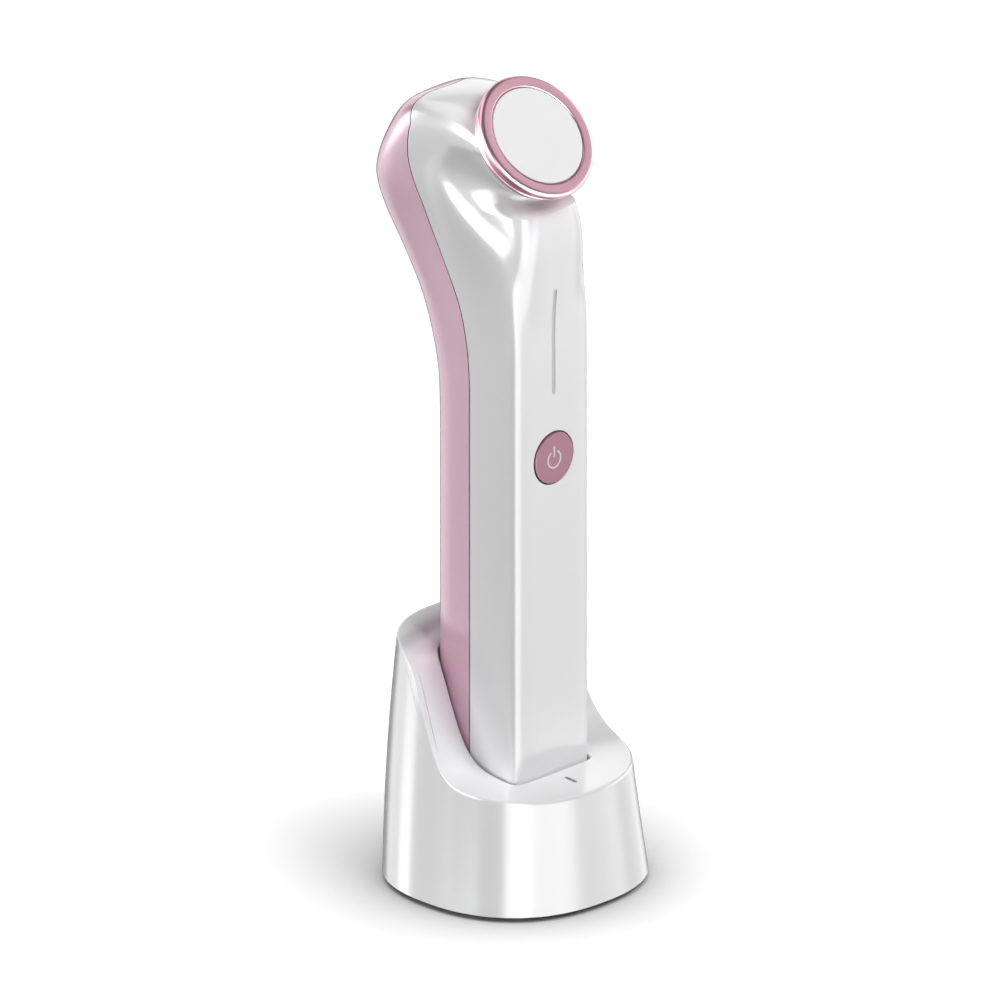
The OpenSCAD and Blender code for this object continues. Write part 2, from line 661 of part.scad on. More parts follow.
// --- Dock ---------------------------------------------------------------------------------
dock_low = foot_t - 0.2;                           // lower edge of the dock's shell
side_lean = 0.125;
front_lean = 0.12;
back_bow = 0.06;
lean_ease = 0.0004;
back_ease = 0.0014;
dock_fullness = 2.3;
skin_t = 2.4;                                      // under the scooped top
sleeve_wall = 2;
well_floor_t = 2;
edge_r = 0.7;                                      // rounding of the rim
scoop_at = 8.7;                                    // where the scoop's back wall is steepest
scoop_soft = 3.3;
scoop_slope = 0.06;
scoop_dish = 0.007;                                // how much the scoop's sides curl up
lip_start = -30;

function dock_half(z) = dock_w / 2 - side_lean * z + lean_ease * z * z;
function dock_fore(z) = dock_front - front_lean * z;
function dock_aft(z) = dock_back + back_bow * z - back_ease * z * z;

// The dock's outline at height z, drawn in by inset
function dock_point(angle, z, inset = 0) = let (
    a = dock_half(z) - inset, f = dock_fore(z) - inset, b = dock_aft(z) - inset,
    mid = (b - f) / 2, half = (b + f) / 2, s = sin(angle), c = cos(angle), p = 2 / dock_fullness
) [a * sign(s) * pow(abs(s), p), mid - half * sign(c) * pow(abs(c), p)];

// Height of the scooped top over a point of the plan
function scoop_t(p) = p[1] + scoop_dish * p[0] * p[0];
function scoop_z(p, sink = 0) = let (t = scoop_t(p) - sink) lip_h - sink
    + scoop_slope * (t - lip_start) + back_rise / (1 + exp(-(t - scoop_at) / scoop_soft));
// The rim: where the wall at this angle meets the scooped top
function rim_z(angle, inset, sink, z = 40, turn = 14) = turn == 0 ? z
    : rim_z(angle, inset, sink, 0.5 * z + 0.5 * scoop_z(dock_point(angle, z, inset), sink), turn - 1);

dock_columns = 52;
dock_angles = [for (i = [0 : dock_columns - 1]) let (a = i * 360 / dock_columns) a + 6 * sin(4 * a)];
// Level outline of the well, or of its sleeve, at an angle about the handle's axis
function well_point(angle, gap) = let (q = section(-100, -gap), r = section_r(q, angle))
    [r * sin(angle), pivot[0] + q[2] - r * cos(angle)];

function mix_points(p, q, u) = [p[0] + (q[0] - p[0]) * u, p[1] + (q[1] - p[1]) * u];

// The rings run up the outer wall, over the rim, down the scoop and the well to the middle of
// its floor; then from under that middle back out to the lower edge.
wall_parts = [0, 0.12, 0.3, 0.5, 0.7, 0.86, 1];
scoop_parts = [0.1, 0.28, 0.5, 0.75, 1];
outer_rings = concat(
    [for (u = wall_parts) [for (a = dock_angles) let (
        top = rim_z(a, 0, 0) - edge_r, z = dock_low + (top - dock_low) * u, p = dock_point(a, z)
    ) [p[0], p[1], z]]],
    [for (e = [30, 60]) [for (a = dock_angles) let (
        z = rim_z(a, edge_r, 0) - edge_r * (1 - sin(e)),
        p = dock_point(a, z, edge_r * (1 - cos(e)))
    ) [p[0], p[1], z]]],
    [for (u = scoop_parts) [for (a = dock_angles) let (
        p = dock_point(a, rim_z(a, edge_r, 0), edge_r), q = mix_points(p, well_point(a, well_gap), u)
    ) [q[0], q[1], scoop_z(q)]]],
    [[for (a = dock_angles) let (q = well_point(a, well_gap)) [q[0], q[1], well_floor]]]
);
inner_rings = concat(
    [[for (a = dock_angles) let (q = well_point(a, well_gap + sleeve_wall))
        [q[0], q[1], well_floor - well_floor_t]]],
    [for (u = [0, 0.4, 1]) [for (a = dock_angles) let (
        p = dock_point(a, rim_z(a, dock_wall, skin_t), dock_wall),
        q = mix_points(well_point(a, well_gap + sleeve_wall), p, u)
    ) [q[0], q[1], scoop_z(q, skin_t)]]],
    [for (u = [0.7, 0.35, 0]) [for (a = dock_angles) let (
        z = dock_low + (rim_z(a, dock_wall, skin_t) - dock_low) * u,
        p = dock_point(a, z, dock_wall)
    ) [p[0], p[1], z]]]
);

module dock_skin() {
    rings = concat(outer_rings, inner_rings);
    count = len(rings);
    split = len(outer_rings);                      // the ring after the middle of the well's floor
    n = dock_columns;
    top_pole = count * n;
    low_pole = top_pole + 1;
    points = concat([for (r = rings) each r],
        [[0, 0, well_floor], [0, 0, well_floor - well_floor_t]]);
    function id(i, j) = (i % count) * n + j % n;
    bands = [for (i = [0 : count - 1], j = [0 : n - 1], k = [0, 1]) if (i != split - 1)
        k == 0 ? [id(i, j), id(i + 1, j), id(i, j + 1)] : [id(i + 1, j), id(i + 1, j + 1), id(i, j + 1)]];
    fans = [for (j = [0 : n - 1], k = [0, 1]) k == 0
        ? [id(split - 1, j), top_pole, id(split - 1, j + 1)]
        : [id(split, j + 1), low_pole, id(split, j)]];
    polyhedron(points = points, faces = concat(bands, fans));
}

boss_r = 2.8;
boss_front = [0.318 * dock_w, -0.4 * dock_front];
boss_rear = [0.303 * dock_w, 0.48 * dock_back];
boss_rear_top = 1.12 * lip_h;
base_screw_r = 1.2;
base_screw_len = 8;
base_t = 2;
boss_low = foot_t + base_t + fit;
pin_r = 0.9;
pin_clear = 0.15;                                  // round the pins where they pass the well
board_z = 9;                                       // underside of the dock's board
board_up = board_z + board_t;
board_half_w = 0.2 * dock_w;
board_front_y = -0.745 * dock_front;
pipe_len = 4;
pipe_w = 1;
pipe_gap = 1.6;                                    // between the light pipe and the well's sleeve
pipe_y = -(handle_d / 2 + well_gap + sleeve_wall + pipe_gap + pipe_len / 2);
socket_w = 9;
socket_h = 3.2;
socket_z = board_up + fit + socket_h / 2;
socket_len = 7.3;
socket_front = dock_aft(socket_z) - 0.4;
board_back_y = socket_front - 6;                   // the socket stands out beyond the board

module at_base_screws() {
    for (x = [-1, 1], p = [boss_front, boss_rear]) translate([x * p[0], p[1], 0]) children();
}

// A slot with round ends, along Y
module round_slot(w, h, y0, y1) {
    translate([-(w - h) / 2, y0, -h / 2]) cube([w - h, y1 - y0, h]);
    for (x = [-1, 1]) translate([x * (w - h) / 2, y1, 0]) rotate([90, 0, 0])
        cylinder(h = y1 - y0, r = h / 2, $fn = 32);
}

module dock_shell() {
    front_top = scoop_z(boss_front) - skin_t / 2;
    rib_t = 1.6;
    rib = [dock_half(boss_rear_top) * 0.88 - boss_rear[0], rib_t, boss_rear_top - boss_low];
    color("white") difference() {
        union() {
            dock_skin();
            for (x = [-1, 1]) {
                translate([x * boss_front[0], boss_front[1], boss_low])
                    cylinder(h = front_top - boss_low, r = boss_r);
                translate([x * boss_rear[0], boss_rear[1], boss_low])
                    cylinder(h = boss_rear_top - boss_low, r = boss_r);
                translate([x * (boss_rear[0] + rib[0] / 2), boss_rear[1], boss_low + rib[2] / 2])
                    cube(rib, center = true);
            }
        }
        at_base_screws() translate([0, 0, boss_low - 1])
            cylinder(h = base_screw_len + 1, r = base_screw_r + fit, $fn = 24);
        at_contacts() translate([0, 0, well_floor - well_floor_t - 1])
            cylinder(h = well_floor_t + 2, r = pin_r + pin_clear, $fn = 32);
        translate([-pipe_w / 2 - fit, pipe_y - pipe_len / 2 - fit, lip_h - 8])
            cube([pipe_w + 2 * fit, pipe_len + 2 * fit, 16]);
        translate([0, 0, socket_z])
            round_slot(socket_w + 0.4, socket_h + 0.4, socket_front - socket_len, socket_front + dock_wall);
    }
}

function dock_plan(z, inset) = [for (a = dock_angles) dock_point(a, z, inset)];

post_w = 4.6;
post_in = 2.5;                                     // posts from the board's edges
post_places = [
    [board_half_w - post_in, board_front_y + post_in],
    [board_half_w - post_in, board_back_y - 2 * post_in]
];
module at_posts() {
    for (x = [-1, 1], p = post_places) translate([x * p[0], p[1], 0]) children();
}

module dock_base() {
    color([0.9, 0.9, 0.9]) difference() {
        union() {
            translate([0, 0, foot_t]) linear_extrude(base_t)
                polygon(dock_plan(foot_t + base_t, dock_wall + 0.15));
            at_posts() translate([0, 0, foot_t + base_t - eps])
                cylinder(h = board_z - fit - foot_t - base_t + eps, r = post_w / 2);
        }
        at_base_screws() translate([0, 0, foot_t - 1]) cylinder(h = 5, r = base_screw_r + fit, $fn = 24);
        at_base_screws() translate([0, 0, foot_t - 1]) cylinder(h = 2.1, r = 2.3, $fn = 32);
        at_posts() translate([0, 0, foot_t + base_t]) cylinder(h = board_z, r = screw_r + fit, $fn = 24);
    }
}

module foot_pad() {
    color([0.45, 0.45, 0.47]) linear_extrude(foot_t - fit) polygon(dock_plan(0, dock_wall + 1));
}

ballast_w = 0.47 * dock_w;
ballast_t = 3;

module ballast_plate() {
    color([0.55, 0.56, 0.58]) difference() {
        translate([-ballast_w / 2, -0.8 * dock_front, boss_low])
            cube([ballast_w, 0.8 * (dock_front + dock_back), ballast_t]);
        at_posts() translate([0, 0, boss_low - 1]) cylinder(h = ballast_t + 2, r = post_w / 2 + 0.7);
    }
}

module base_screws() {
    color([0.6, 0.6, 0.62]) at_base_screws() {
        translate([0, 0, foot_t + fit]) cylinder(h = 1, r = 2.1, $fn = 32);
        translate([0, 0, foot_t + 1]) cylinder(h = base_screw_len, r = base_screw_r, $fn = 24);
    }
}

module dock_board() {
    color([0.1, 0.4, 0.25]) difference() {
        translate([-board_half_w, board_front_y, board_z])
            cube([2 * board_half_w, board_back_y - board_front_y, board_t]);
        at_posts() translate([0, 0, board_z - 1]) cylinder(h = 4, r = screw_r + fit, $fn = 24);
    }
}

module dock_board_screws() {
    color([0.6, 0.6, 0.62]) at_posts() {
        translate([0, 0, board_up + fit]) cylinder(h = screw_head_t, r = screw_head_r, $fn = 24);
        translate([0, 0, board_up + fit + eps - 5]) cylinder(h = 5, r = screw_r, $fn = 24);
    }
}

tongue_w = 6.6;
tongue_t = 0.7;

module power_socket() {
    color([0.7, 0.7, 0.72]) translate([0, 0, socket_z]) {
        difference() {
            round_slot(socket_w, socket_h, socket_front - socket_len, socket_front);
            round_slot(socket_w - 0.6, socket_h - 0.6, socket_front - socket_len + 1.1, socket_front + 1);
        }
        translate([-tongue_w / 2, socket_front - socket_len + 0.8, -tongue_t / 2])
            cube([tongue_w, socket_len - 2.3, tongue_t]);
    }
}

led = [1.6, 2.4, 0.8];

module dock_led() {
    color([0.95, 0.95, 0.7]) translate([-led[0] / 2, pipe_y - led[1] / 2, board_up + fit]) cube(led);
}

module dock_light_pipe() {
    low = board_up + 2 * fit + led[2];
    y0 = pipe_y - pipe_len / 2;
    y1 = pipe_y + pipe_len / 2;
    recess = 0.06;
    color([0.85, 0.86, 0.88]) translate([-pipe_w / 2, 0, 0]) rotate([90, 0, 90]) linear_extrude(pipe_w)
        polygon([[y0, low], [y1, low], [y1, scoop_z([0, y1]) - recess], [y0, scoop_z([0, y0]) - recess]]);
}

// --- Sprung contact pins ------------------------------------------------------------------
barrel_r = 1.7;
barrel_top = well_floor - well_floor_t - fit;
barrel_bore_low = board_up + 0.7;
pin_top = well_floor + fit;                        // just under the handset's contacts
pin_low = pin_top - 3.4;
pin_tip = 0.3;

module pin_barrels() {
    color([0.85, 0.7, 0.4]) at_contacts() difference() {
        translate([0, 0, board_up + fit]) cylinder(h = barrel_top - board_up - fit, r = barrel_r, $fn = 32);
        translate([0, 0, barrel_bore_low]) cylinder(h = 9, r = pin_r + fit, $fn = 32);
    }
}

module contact_pin(x) {
    color([0.9, 0.75, 0.45]) translate([x, 0, pin_low]) {
        cylinder(h = pin_top - pin_low - pin_tip, r = pin_r, $fn = 32);
        translate([0, 0, pin_top - pin_low - pin_tip - eps])
            cylinder(h = pin_tip + eps, r1 = pin_r, r2 = pin_r - pin_tip, $fn = 32);
    }
}

module pin_spring(x) {
    low = barrel_bore_low + fit;
    color([0.7, 0.7, 0.7]) translate([x, 0, low]) difference() {
        cylinder(h = pin_low - fit - low, r = pin_r - 0.1, $fn = 32);
        translate([0, 0, -1]) cylinder(h = 9, r = pin_r - 0.35, $fn = 32);
    }
}

module pin_spring_left() { pin_spring(-contact_x); }
module pin_spring_right() { pin_spring(contact_x); }
module contact_pin_left() { contact_pin(-contact_x); }
module contact_pin_right() { contact_pin(contact_x); }

// --- Drawing ------------------------------------------------------------------------------
front_casing();
rear_casing();
head_ring();
treatment_plate();
plate_seal();
warming_film();
backing_pad();
plate_carrier();
motor_holder();
holder_screws();
motor_can();
motor_shaft();
motor_weight();
head_leads();
motor_leads();
chassis();
battery_cell();
battery_straps();
battery_leads();
main_board();
board_screws();
push_switch();
switch_plunger();
power_button();
button_pad();
indicator_leds();
light_guide();
bottom_cap();
charge_contacts();
charge_leads();
dock_shell();
dock_base();
foot_pad();
ballast_plate();
base_screws();
dock_board();
dock_board_screws();
power_socket();
dock_led();
dock_light_pipe();
pin_barrels();
pin_spring_left();
pin_spring_right();
contact_pin_left();
contact_pin_right();
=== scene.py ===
"""Looks of a facial toning device that stands in its charging dock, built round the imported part.

Sizes in the classes are millimetres, in the part's own frame: +Z up, the front faces -Y, and the
origin is the middle of the dock's foot. They become metres where a finished mesh is kept.
"""

import json
import logging
import math
from dataclasses import dataclass, field
from enum import Enum, IntEnum
from typing import Callable, Iterable, Optional, Sequence

import bmesh
import bpy
from mathutils import Matrix, Vector
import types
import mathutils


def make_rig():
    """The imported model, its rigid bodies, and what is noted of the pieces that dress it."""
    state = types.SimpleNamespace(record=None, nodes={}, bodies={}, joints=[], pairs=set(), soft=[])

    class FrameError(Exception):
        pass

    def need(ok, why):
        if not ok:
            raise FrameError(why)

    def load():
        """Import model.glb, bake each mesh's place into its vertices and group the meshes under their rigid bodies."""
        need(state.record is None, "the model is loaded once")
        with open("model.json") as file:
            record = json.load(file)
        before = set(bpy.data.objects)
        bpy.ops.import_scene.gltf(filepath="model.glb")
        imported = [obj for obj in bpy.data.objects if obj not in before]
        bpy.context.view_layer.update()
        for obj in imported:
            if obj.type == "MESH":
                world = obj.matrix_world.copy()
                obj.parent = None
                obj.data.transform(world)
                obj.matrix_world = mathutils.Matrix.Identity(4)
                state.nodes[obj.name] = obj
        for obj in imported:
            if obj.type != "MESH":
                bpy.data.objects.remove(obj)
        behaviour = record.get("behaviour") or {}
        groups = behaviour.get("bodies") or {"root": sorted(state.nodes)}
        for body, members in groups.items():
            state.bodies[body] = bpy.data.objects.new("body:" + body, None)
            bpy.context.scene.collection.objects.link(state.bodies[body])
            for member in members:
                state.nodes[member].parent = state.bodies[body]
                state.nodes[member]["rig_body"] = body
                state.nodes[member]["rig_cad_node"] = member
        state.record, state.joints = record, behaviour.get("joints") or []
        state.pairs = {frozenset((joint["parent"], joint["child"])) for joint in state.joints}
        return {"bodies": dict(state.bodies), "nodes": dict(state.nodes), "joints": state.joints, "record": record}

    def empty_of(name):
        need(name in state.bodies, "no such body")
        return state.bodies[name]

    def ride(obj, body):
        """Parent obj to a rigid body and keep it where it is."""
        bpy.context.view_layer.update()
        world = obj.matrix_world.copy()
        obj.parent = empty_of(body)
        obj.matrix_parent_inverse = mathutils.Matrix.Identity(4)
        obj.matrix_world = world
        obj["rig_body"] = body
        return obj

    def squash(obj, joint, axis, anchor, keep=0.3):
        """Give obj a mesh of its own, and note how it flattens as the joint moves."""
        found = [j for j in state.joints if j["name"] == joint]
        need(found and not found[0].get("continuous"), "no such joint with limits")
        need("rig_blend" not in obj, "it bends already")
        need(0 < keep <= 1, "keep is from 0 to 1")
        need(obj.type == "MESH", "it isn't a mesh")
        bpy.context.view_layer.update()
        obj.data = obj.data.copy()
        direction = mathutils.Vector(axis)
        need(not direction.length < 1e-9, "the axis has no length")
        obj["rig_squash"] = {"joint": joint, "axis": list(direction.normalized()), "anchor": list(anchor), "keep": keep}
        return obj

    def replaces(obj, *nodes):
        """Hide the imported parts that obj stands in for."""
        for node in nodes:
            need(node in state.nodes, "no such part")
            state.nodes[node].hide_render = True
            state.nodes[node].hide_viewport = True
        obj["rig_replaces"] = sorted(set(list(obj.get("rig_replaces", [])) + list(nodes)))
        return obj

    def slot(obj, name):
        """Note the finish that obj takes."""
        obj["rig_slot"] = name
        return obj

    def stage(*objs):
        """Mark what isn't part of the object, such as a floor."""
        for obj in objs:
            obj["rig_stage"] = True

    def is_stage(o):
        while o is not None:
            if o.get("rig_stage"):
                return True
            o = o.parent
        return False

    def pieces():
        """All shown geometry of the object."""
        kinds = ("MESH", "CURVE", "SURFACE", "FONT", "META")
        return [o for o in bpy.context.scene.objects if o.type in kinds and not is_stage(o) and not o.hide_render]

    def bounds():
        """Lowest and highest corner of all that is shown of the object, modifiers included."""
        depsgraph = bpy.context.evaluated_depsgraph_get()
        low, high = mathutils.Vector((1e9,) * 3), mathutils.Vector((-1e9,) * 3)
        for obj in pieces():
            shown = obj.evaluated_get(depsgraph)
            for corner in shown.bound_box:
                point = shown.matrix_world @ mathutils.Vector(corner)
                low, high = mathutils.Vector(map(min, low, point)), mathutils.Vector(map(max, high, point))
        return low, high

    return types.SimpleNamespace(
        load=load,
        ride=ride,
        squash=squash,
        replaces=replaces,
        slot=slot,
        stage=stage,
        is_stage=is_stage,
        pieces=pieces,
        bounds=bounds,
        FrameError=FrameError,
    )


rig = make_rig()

LOG = logging.getLogger("toning_device")
MM = 0.001
MERGE = 1e-4
EDGE_PARTS = 3
SEARCH_STEPS = 40
RIM_STEPS = 30
SIZE_FILE = "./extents.json"
BMesh = bmesh.types.BMesh
Object = bpy.types.Object
Material = bpy.types.Material
Colour = tuple[float, float, float]
Place = tuple[float, float, float]


# --- Small mathematics ----------------------------------------------------------------------
def mix(a: float, b: float, u: float) -> float:
    """The value a share u of the way from a to b."""
    return a + (b - a) * u


def limited(x: float, low: float, high: float) -> float:
    """x, kept between low and high."""
    return min(max(x, low), high)


def spread(low: float, high: float, count: int) -> list[float]:
    """count + 1 values from low to high, evenly spaced."""
    return [mix(low, high, i / count) for i in range(count + 1)]


def eased(points: Sequence[Place], count: int, turn_weight: float, tight: float = 0.0) -> list[Place]:
    """Resample a line so that its points lie closer together where it bends.

    Args:
        points: the line, finely divided.
        count: how many parts the new line has.
        turn_weight: length that one radian of bend counts for.
        tight: length of the first and last part, or 0 for none that are set apart.

    Returns:
        count + 1 places on the line, its two ends among them.
    """
    places = [Vector(p) for p in points]
    total = [0.0]
    for i in range(1, len(places)):
        step = places[i] - places[i - 1]
        bend = 0.0
        if i < len(places) - 1:
            after = places[i + 1] - places[i]
            if step.length > 1e-9 and after.length > 1e-9:
                bend = step.angle(after)
        total.append(total[-1] + step.length + turn_weight * bend)
    marks = spread(tight, total[-1] - tight, count - 2) if tight else spread(0, total[-1], count)
    if tight:
        marks = [0.0, *marks, total[-1]]
    out, k = [], 0
    for mark in marks:
        while k < len(total) - 2 and total[k + 1] < mark:
            k += 1
        share = (mark - total[k]) / max(total[k + 1] - total[k], 1e-12)
        out.append(tuple(places[k].lerp(places[k + 1], limited(share, 0.0, 1.0))))
    return out


def toward(azimuth: float, elevation: float) -> Vector:
    """The direction at an azimuth from the front and an elevation, in degrees."""
    a, e = math.radians(azimuth), math.radians(elevation)
    return Vector((math.sin(a) * math.cos(e), -math.cos(a) * math.cos(e), math.sin(e)))


def on_slot(along: float, across: float, low: float, high: float, half: float) -> tuple[float, float]:
    """The place on the edge of a round-ended slot that is nearest to a place.

    Args:
        along: the place, along the slot.
        across: the place, across it from its middle line.
        low: where the slot starts.
        high: where the slot ends.
        half: half the slot's width.

    Returns:
        The nearest place, along and across.
    """
    middle = limited(along, low + half, high - half)
    away = Vector((along - middle, across)).normalized() * half
    return middle + away.x, away.y


# --- Mesh tools -----------------------------------------------------------------------------
def keep(bm: BMesh, name: str, place: Optional[Matrix] = None) -> Object:
    """Make an object at the origin from a mesh in millimetres.

    Args:
        bm: the mesh, which is used up.
        name: the object's name.
        place: where the mesh goes in the part's frame, in millimetres.

    Returns:
        The object, with smooth faces.
    """
    if place is not None:
        bmesh.ops.transform(bm, matrix=place, verts=bm.verts)
    bmesh.ops.scale(bm, vec=(MM, MM, MM), verts=bm.verts)
    for face in bm.faces:
        face.smooth = True
    mesh = bpy.data.meshes.new(name)
    bm.to_mesh(mesh)
    bm.free()
    obj = bpy.data.objects.new(name, mesh)
    bpy.context.scene.collection.objects.link(obj)
    return obj


def grid(rows: Sequence[Sequence[Place]]) -> BMesh:
    """A sheet of quads through rows of places; rows or columns that coincide are merged.

    Args:
        rows: lists of the same length, each a line of places along the sheet.

    Returns:
        The sheet, in millimetres.
    """
    bm = bmesh.new()
    bm.edges.layers.float.new("bevel_weight_edge")
    column_tag = bm.verts.layers.int.new("column")
    last_row, last_column = len(rows) - 1, len(rows[0]) - 1
    bmesh.ops.create_grid(bm, x_segments=last_column, y_segments=last_row, size=1.0)
    for vert in bm.verts:
        column = round((vert.co.x + 1) / 2 * last_column)
        row = round((vert.co.y + 1) / 2 * last_row)
        vert.co = rows[row][column]
        vert[column_tag] = column
    bmesh.ops.remove_doubles(bm, verts=bm.verts, dist=MERGE)
    return bm


def lathe(profile: Sequence[tuple[float, float]], steps: int = 128, closed: bool = True) -> BMesh:
    """Spin a profile of (radius, height) a full turn about Z.

    Args:
        profile: corners of the section; the ones on the axis have radius 0.
        steps: parts in the turn.
        closed: whether the profile's last corner joins its first.

    Returns:
        The solid, with its faces outwards.
    """
    bm = bmesh.new()
    verts = [bm.verts.new((r, 0, z)) for r, z in profile]
    pairs = list(zip(verts, verts[1:]))
    if closed:
        pairs.append((verts[-1], verts[0]))
    edges = [bm.edges.new(pair) for pair in pairs]
    bmesh.ops.spin(bm, geom=verts + edges, cent=(0, 0, 0), axis=(0, 0, 1),
                   angle=math.tau, steps=steps, use_merge=True)
    bmesh.ops.remove_doubles(bm, verts=bm.verts, dist=MERGE)
    bmesh.ops.dissolve_degenerate(bm, edges=bm.edges, dist=MERGE)
    bmesh.ops.recalc_face_normals(bm, faces=bm.faces)
    return bm


def soften(bm: BMesh, width: float, sharper_than: float, segments: int = 2) -> None:
    """Round the edges of a mesh that are sharper than an angle.

    Args:
        bm: the mesh to change.
        width: width of the rounding, in millimetres.
        sharper_than: angle between an edge's faces, in degrees.
        segments: parts across the rounding.
    """
    limit = math.radians(sharper_than)
    edges = [e for e in bm.edges if len(e.link_faces) == 2 and e.calc_face_angle(0.0) > limit]
    bmesh.ops.bevel(bm, geom=edges, affect="EDGES", offset=width, offset_type="OFFSET",
                    segments=segments, profile=0.5, material=-1, clamp_overlap=True)


def rod(radius: float, low: float, high: float, steps: int = 24) -> BMesh:
    """A round bar along Z, from height low to height high."""
    return lathe([(0, low), (radius, low), (radius, high), (0, high)], steps, closed=False)


def block(size: Place, middle: Place) -> BMesh:
    """A block with the given sides about a middle.

    Args:
        size: its three sides.
        middle: the place of its middle.

    Returns:
        The block.
    """
    bm = bmesh.new()
    bmesh.ops.create_cube(bm, size=1.0)
    bmesh.ops.scale(bm, vec=size, verts=bm.verts)
    bmesh.ops.translate(bm, vec=middle, verts=bm.verts)
    return bm


def joined(parts: Iterable[BMesh]) -> BMesh:
    """One mesh from several, which are used up.

    Args:
        parts: the meshes, which are used up.

    Returns:
        The whole mesh, in the order of its parts.
    """
    whole = bmesh.new()
    for part in parts:
        carrier = bpy.data.meshes.new("carrier")
        part.to_mesh(carrier)
        part.free()
        whole.from_mesh(carrier)
        bpy.data.meshes.remove(carrier)
    return whole


def moved(bm: BMesh, place: Matrix) -> BMesh:
    """The same mesh, moved by a matrix."""
    bmesh.ops.transform(bm, matrix=place, verts=bm.verts)
    return bm


def open_window(bm: BMesh, columns: tuple[int, int], inside: Callable[[Vector], bool],
                outline: Callable[[Vector], Vector], onto: Callable[[Vector], Vector],
                rings: int = 3) -> list[bmesh.types.BMEdge]:
    """Cut a hole in a sheet and lead its faces up to a smooth outline.

    Args:
        bm: the sheet, made by grid.
        columns: first and last column of the window that is cut out.
        inside: says whether a face's middle lies in the window's rows.
        outline: gives the place on the hole's edge for a place on the window's edge.
        onto: puts a place on the sheet's true surface.
        rings: rows of faces between the window's edge and the hole's edge.

    Returns:
        The edges round the hole.
    """
    before = {e for e in bm.edges if e.is_boundary}
    tag = bm.verts.layers.int["column"]
    doomed = [f for f in bm.faces if inside(f.calc_center_median())
              and all(columns[0] <= v[tag] <= columns[1] for v in f.verts)]
    bmesh.ops.delete(bm, geom=doomed, context="FACES")
    edges = [e for e in bm.edges if e.is_boundary and e not in before]
    for ring in range(1, rings + 1):
        made = bmesh.ops.extrude_edge_only(bm, edges=edges)["geom"]
        fresh = [g for g in made if isinstance(g, bmesh.types.BMVert)]
        edges = [g for g in made if isinstance(g, bmesh.types.BMEdge) and all(v in fresh for v in g.verts)]
        share = 1 / (rings + 1 - ring)
        for vert in fresh:
            vert.co = onto(vert.co.lerp(outline(vert.co), share))
    return edges


def weigh(bm: BMesh, edges: Iterable[bmesh.types.BMEdge], weight: float) -> None:
    """Give edges the weight that the bevel modifier reads.

    Args:
        bm: the mesh, made by grid.
        edges: the edges.
        weight: share of the rounding that they get.
    """
    layer = bm.edges.layers.float["bevel_weight_edge"]
    for edge in edges:
        edge[layer] = weight


def walled(obj: Object, wall: float, rounding: float, bare_edge: bool = False) -> Object:
    """Give a sheet a wall inwards, rounded weighted edges and even shading.

    Args:
        obj: the sheet, with its faces outwards.
        wall: thickness of the wall, in millimetres.
        rounding: rounding of an edge of weight 1, in millimetres.
        bare_edge: whether the wall's edge wears the piece's second finish.

    Returns:
        The same object.
    """
    shell = obj.modifiers.new("wall", "SOLIDIFY")
    shell.thickness = wall * MM
    shell.offset = -1.0
    shell.use_quality_normals = True
    # The wall's edge faces take the next finish; on the rear casing that is near-black painted shade for the parting
    # gap.
    shell.material_offset_rim = int(bare_edge)
    soft = obj.modifiers.new("edges", "BEVEL")
    soft.limit_method = "WEIGHT"
    soft.width = rounding * MM
    soft.segments = EDGE_PARTS
    soft.use_clamp_overlap = True
    even_shading(obj)
    return obj


def even_shading(obj: Object) -> Object:
    """Let the large faces of a piece set its shading, so that narrow roundings don't pull on it.

    Args:
        obj: the piece.

    Returns:
        The same piece.
    """
    shade = obj.modifiers.new("shading", "WEIGHTED_NORMAL")
    shade.mode = "FACE_AREA"
    shade.keep_sharp = True
    return obj


# --- Finishes -------------------------------------------------------------------------------
# How much handling marks, dust and turned circles add to the roughness; depth of the skin in mm
MARKS_DULL = 0.02
DUST_DULLS = 0.1
CUTS_DULL = 0.12
SKIN_DEPTH = 0.02


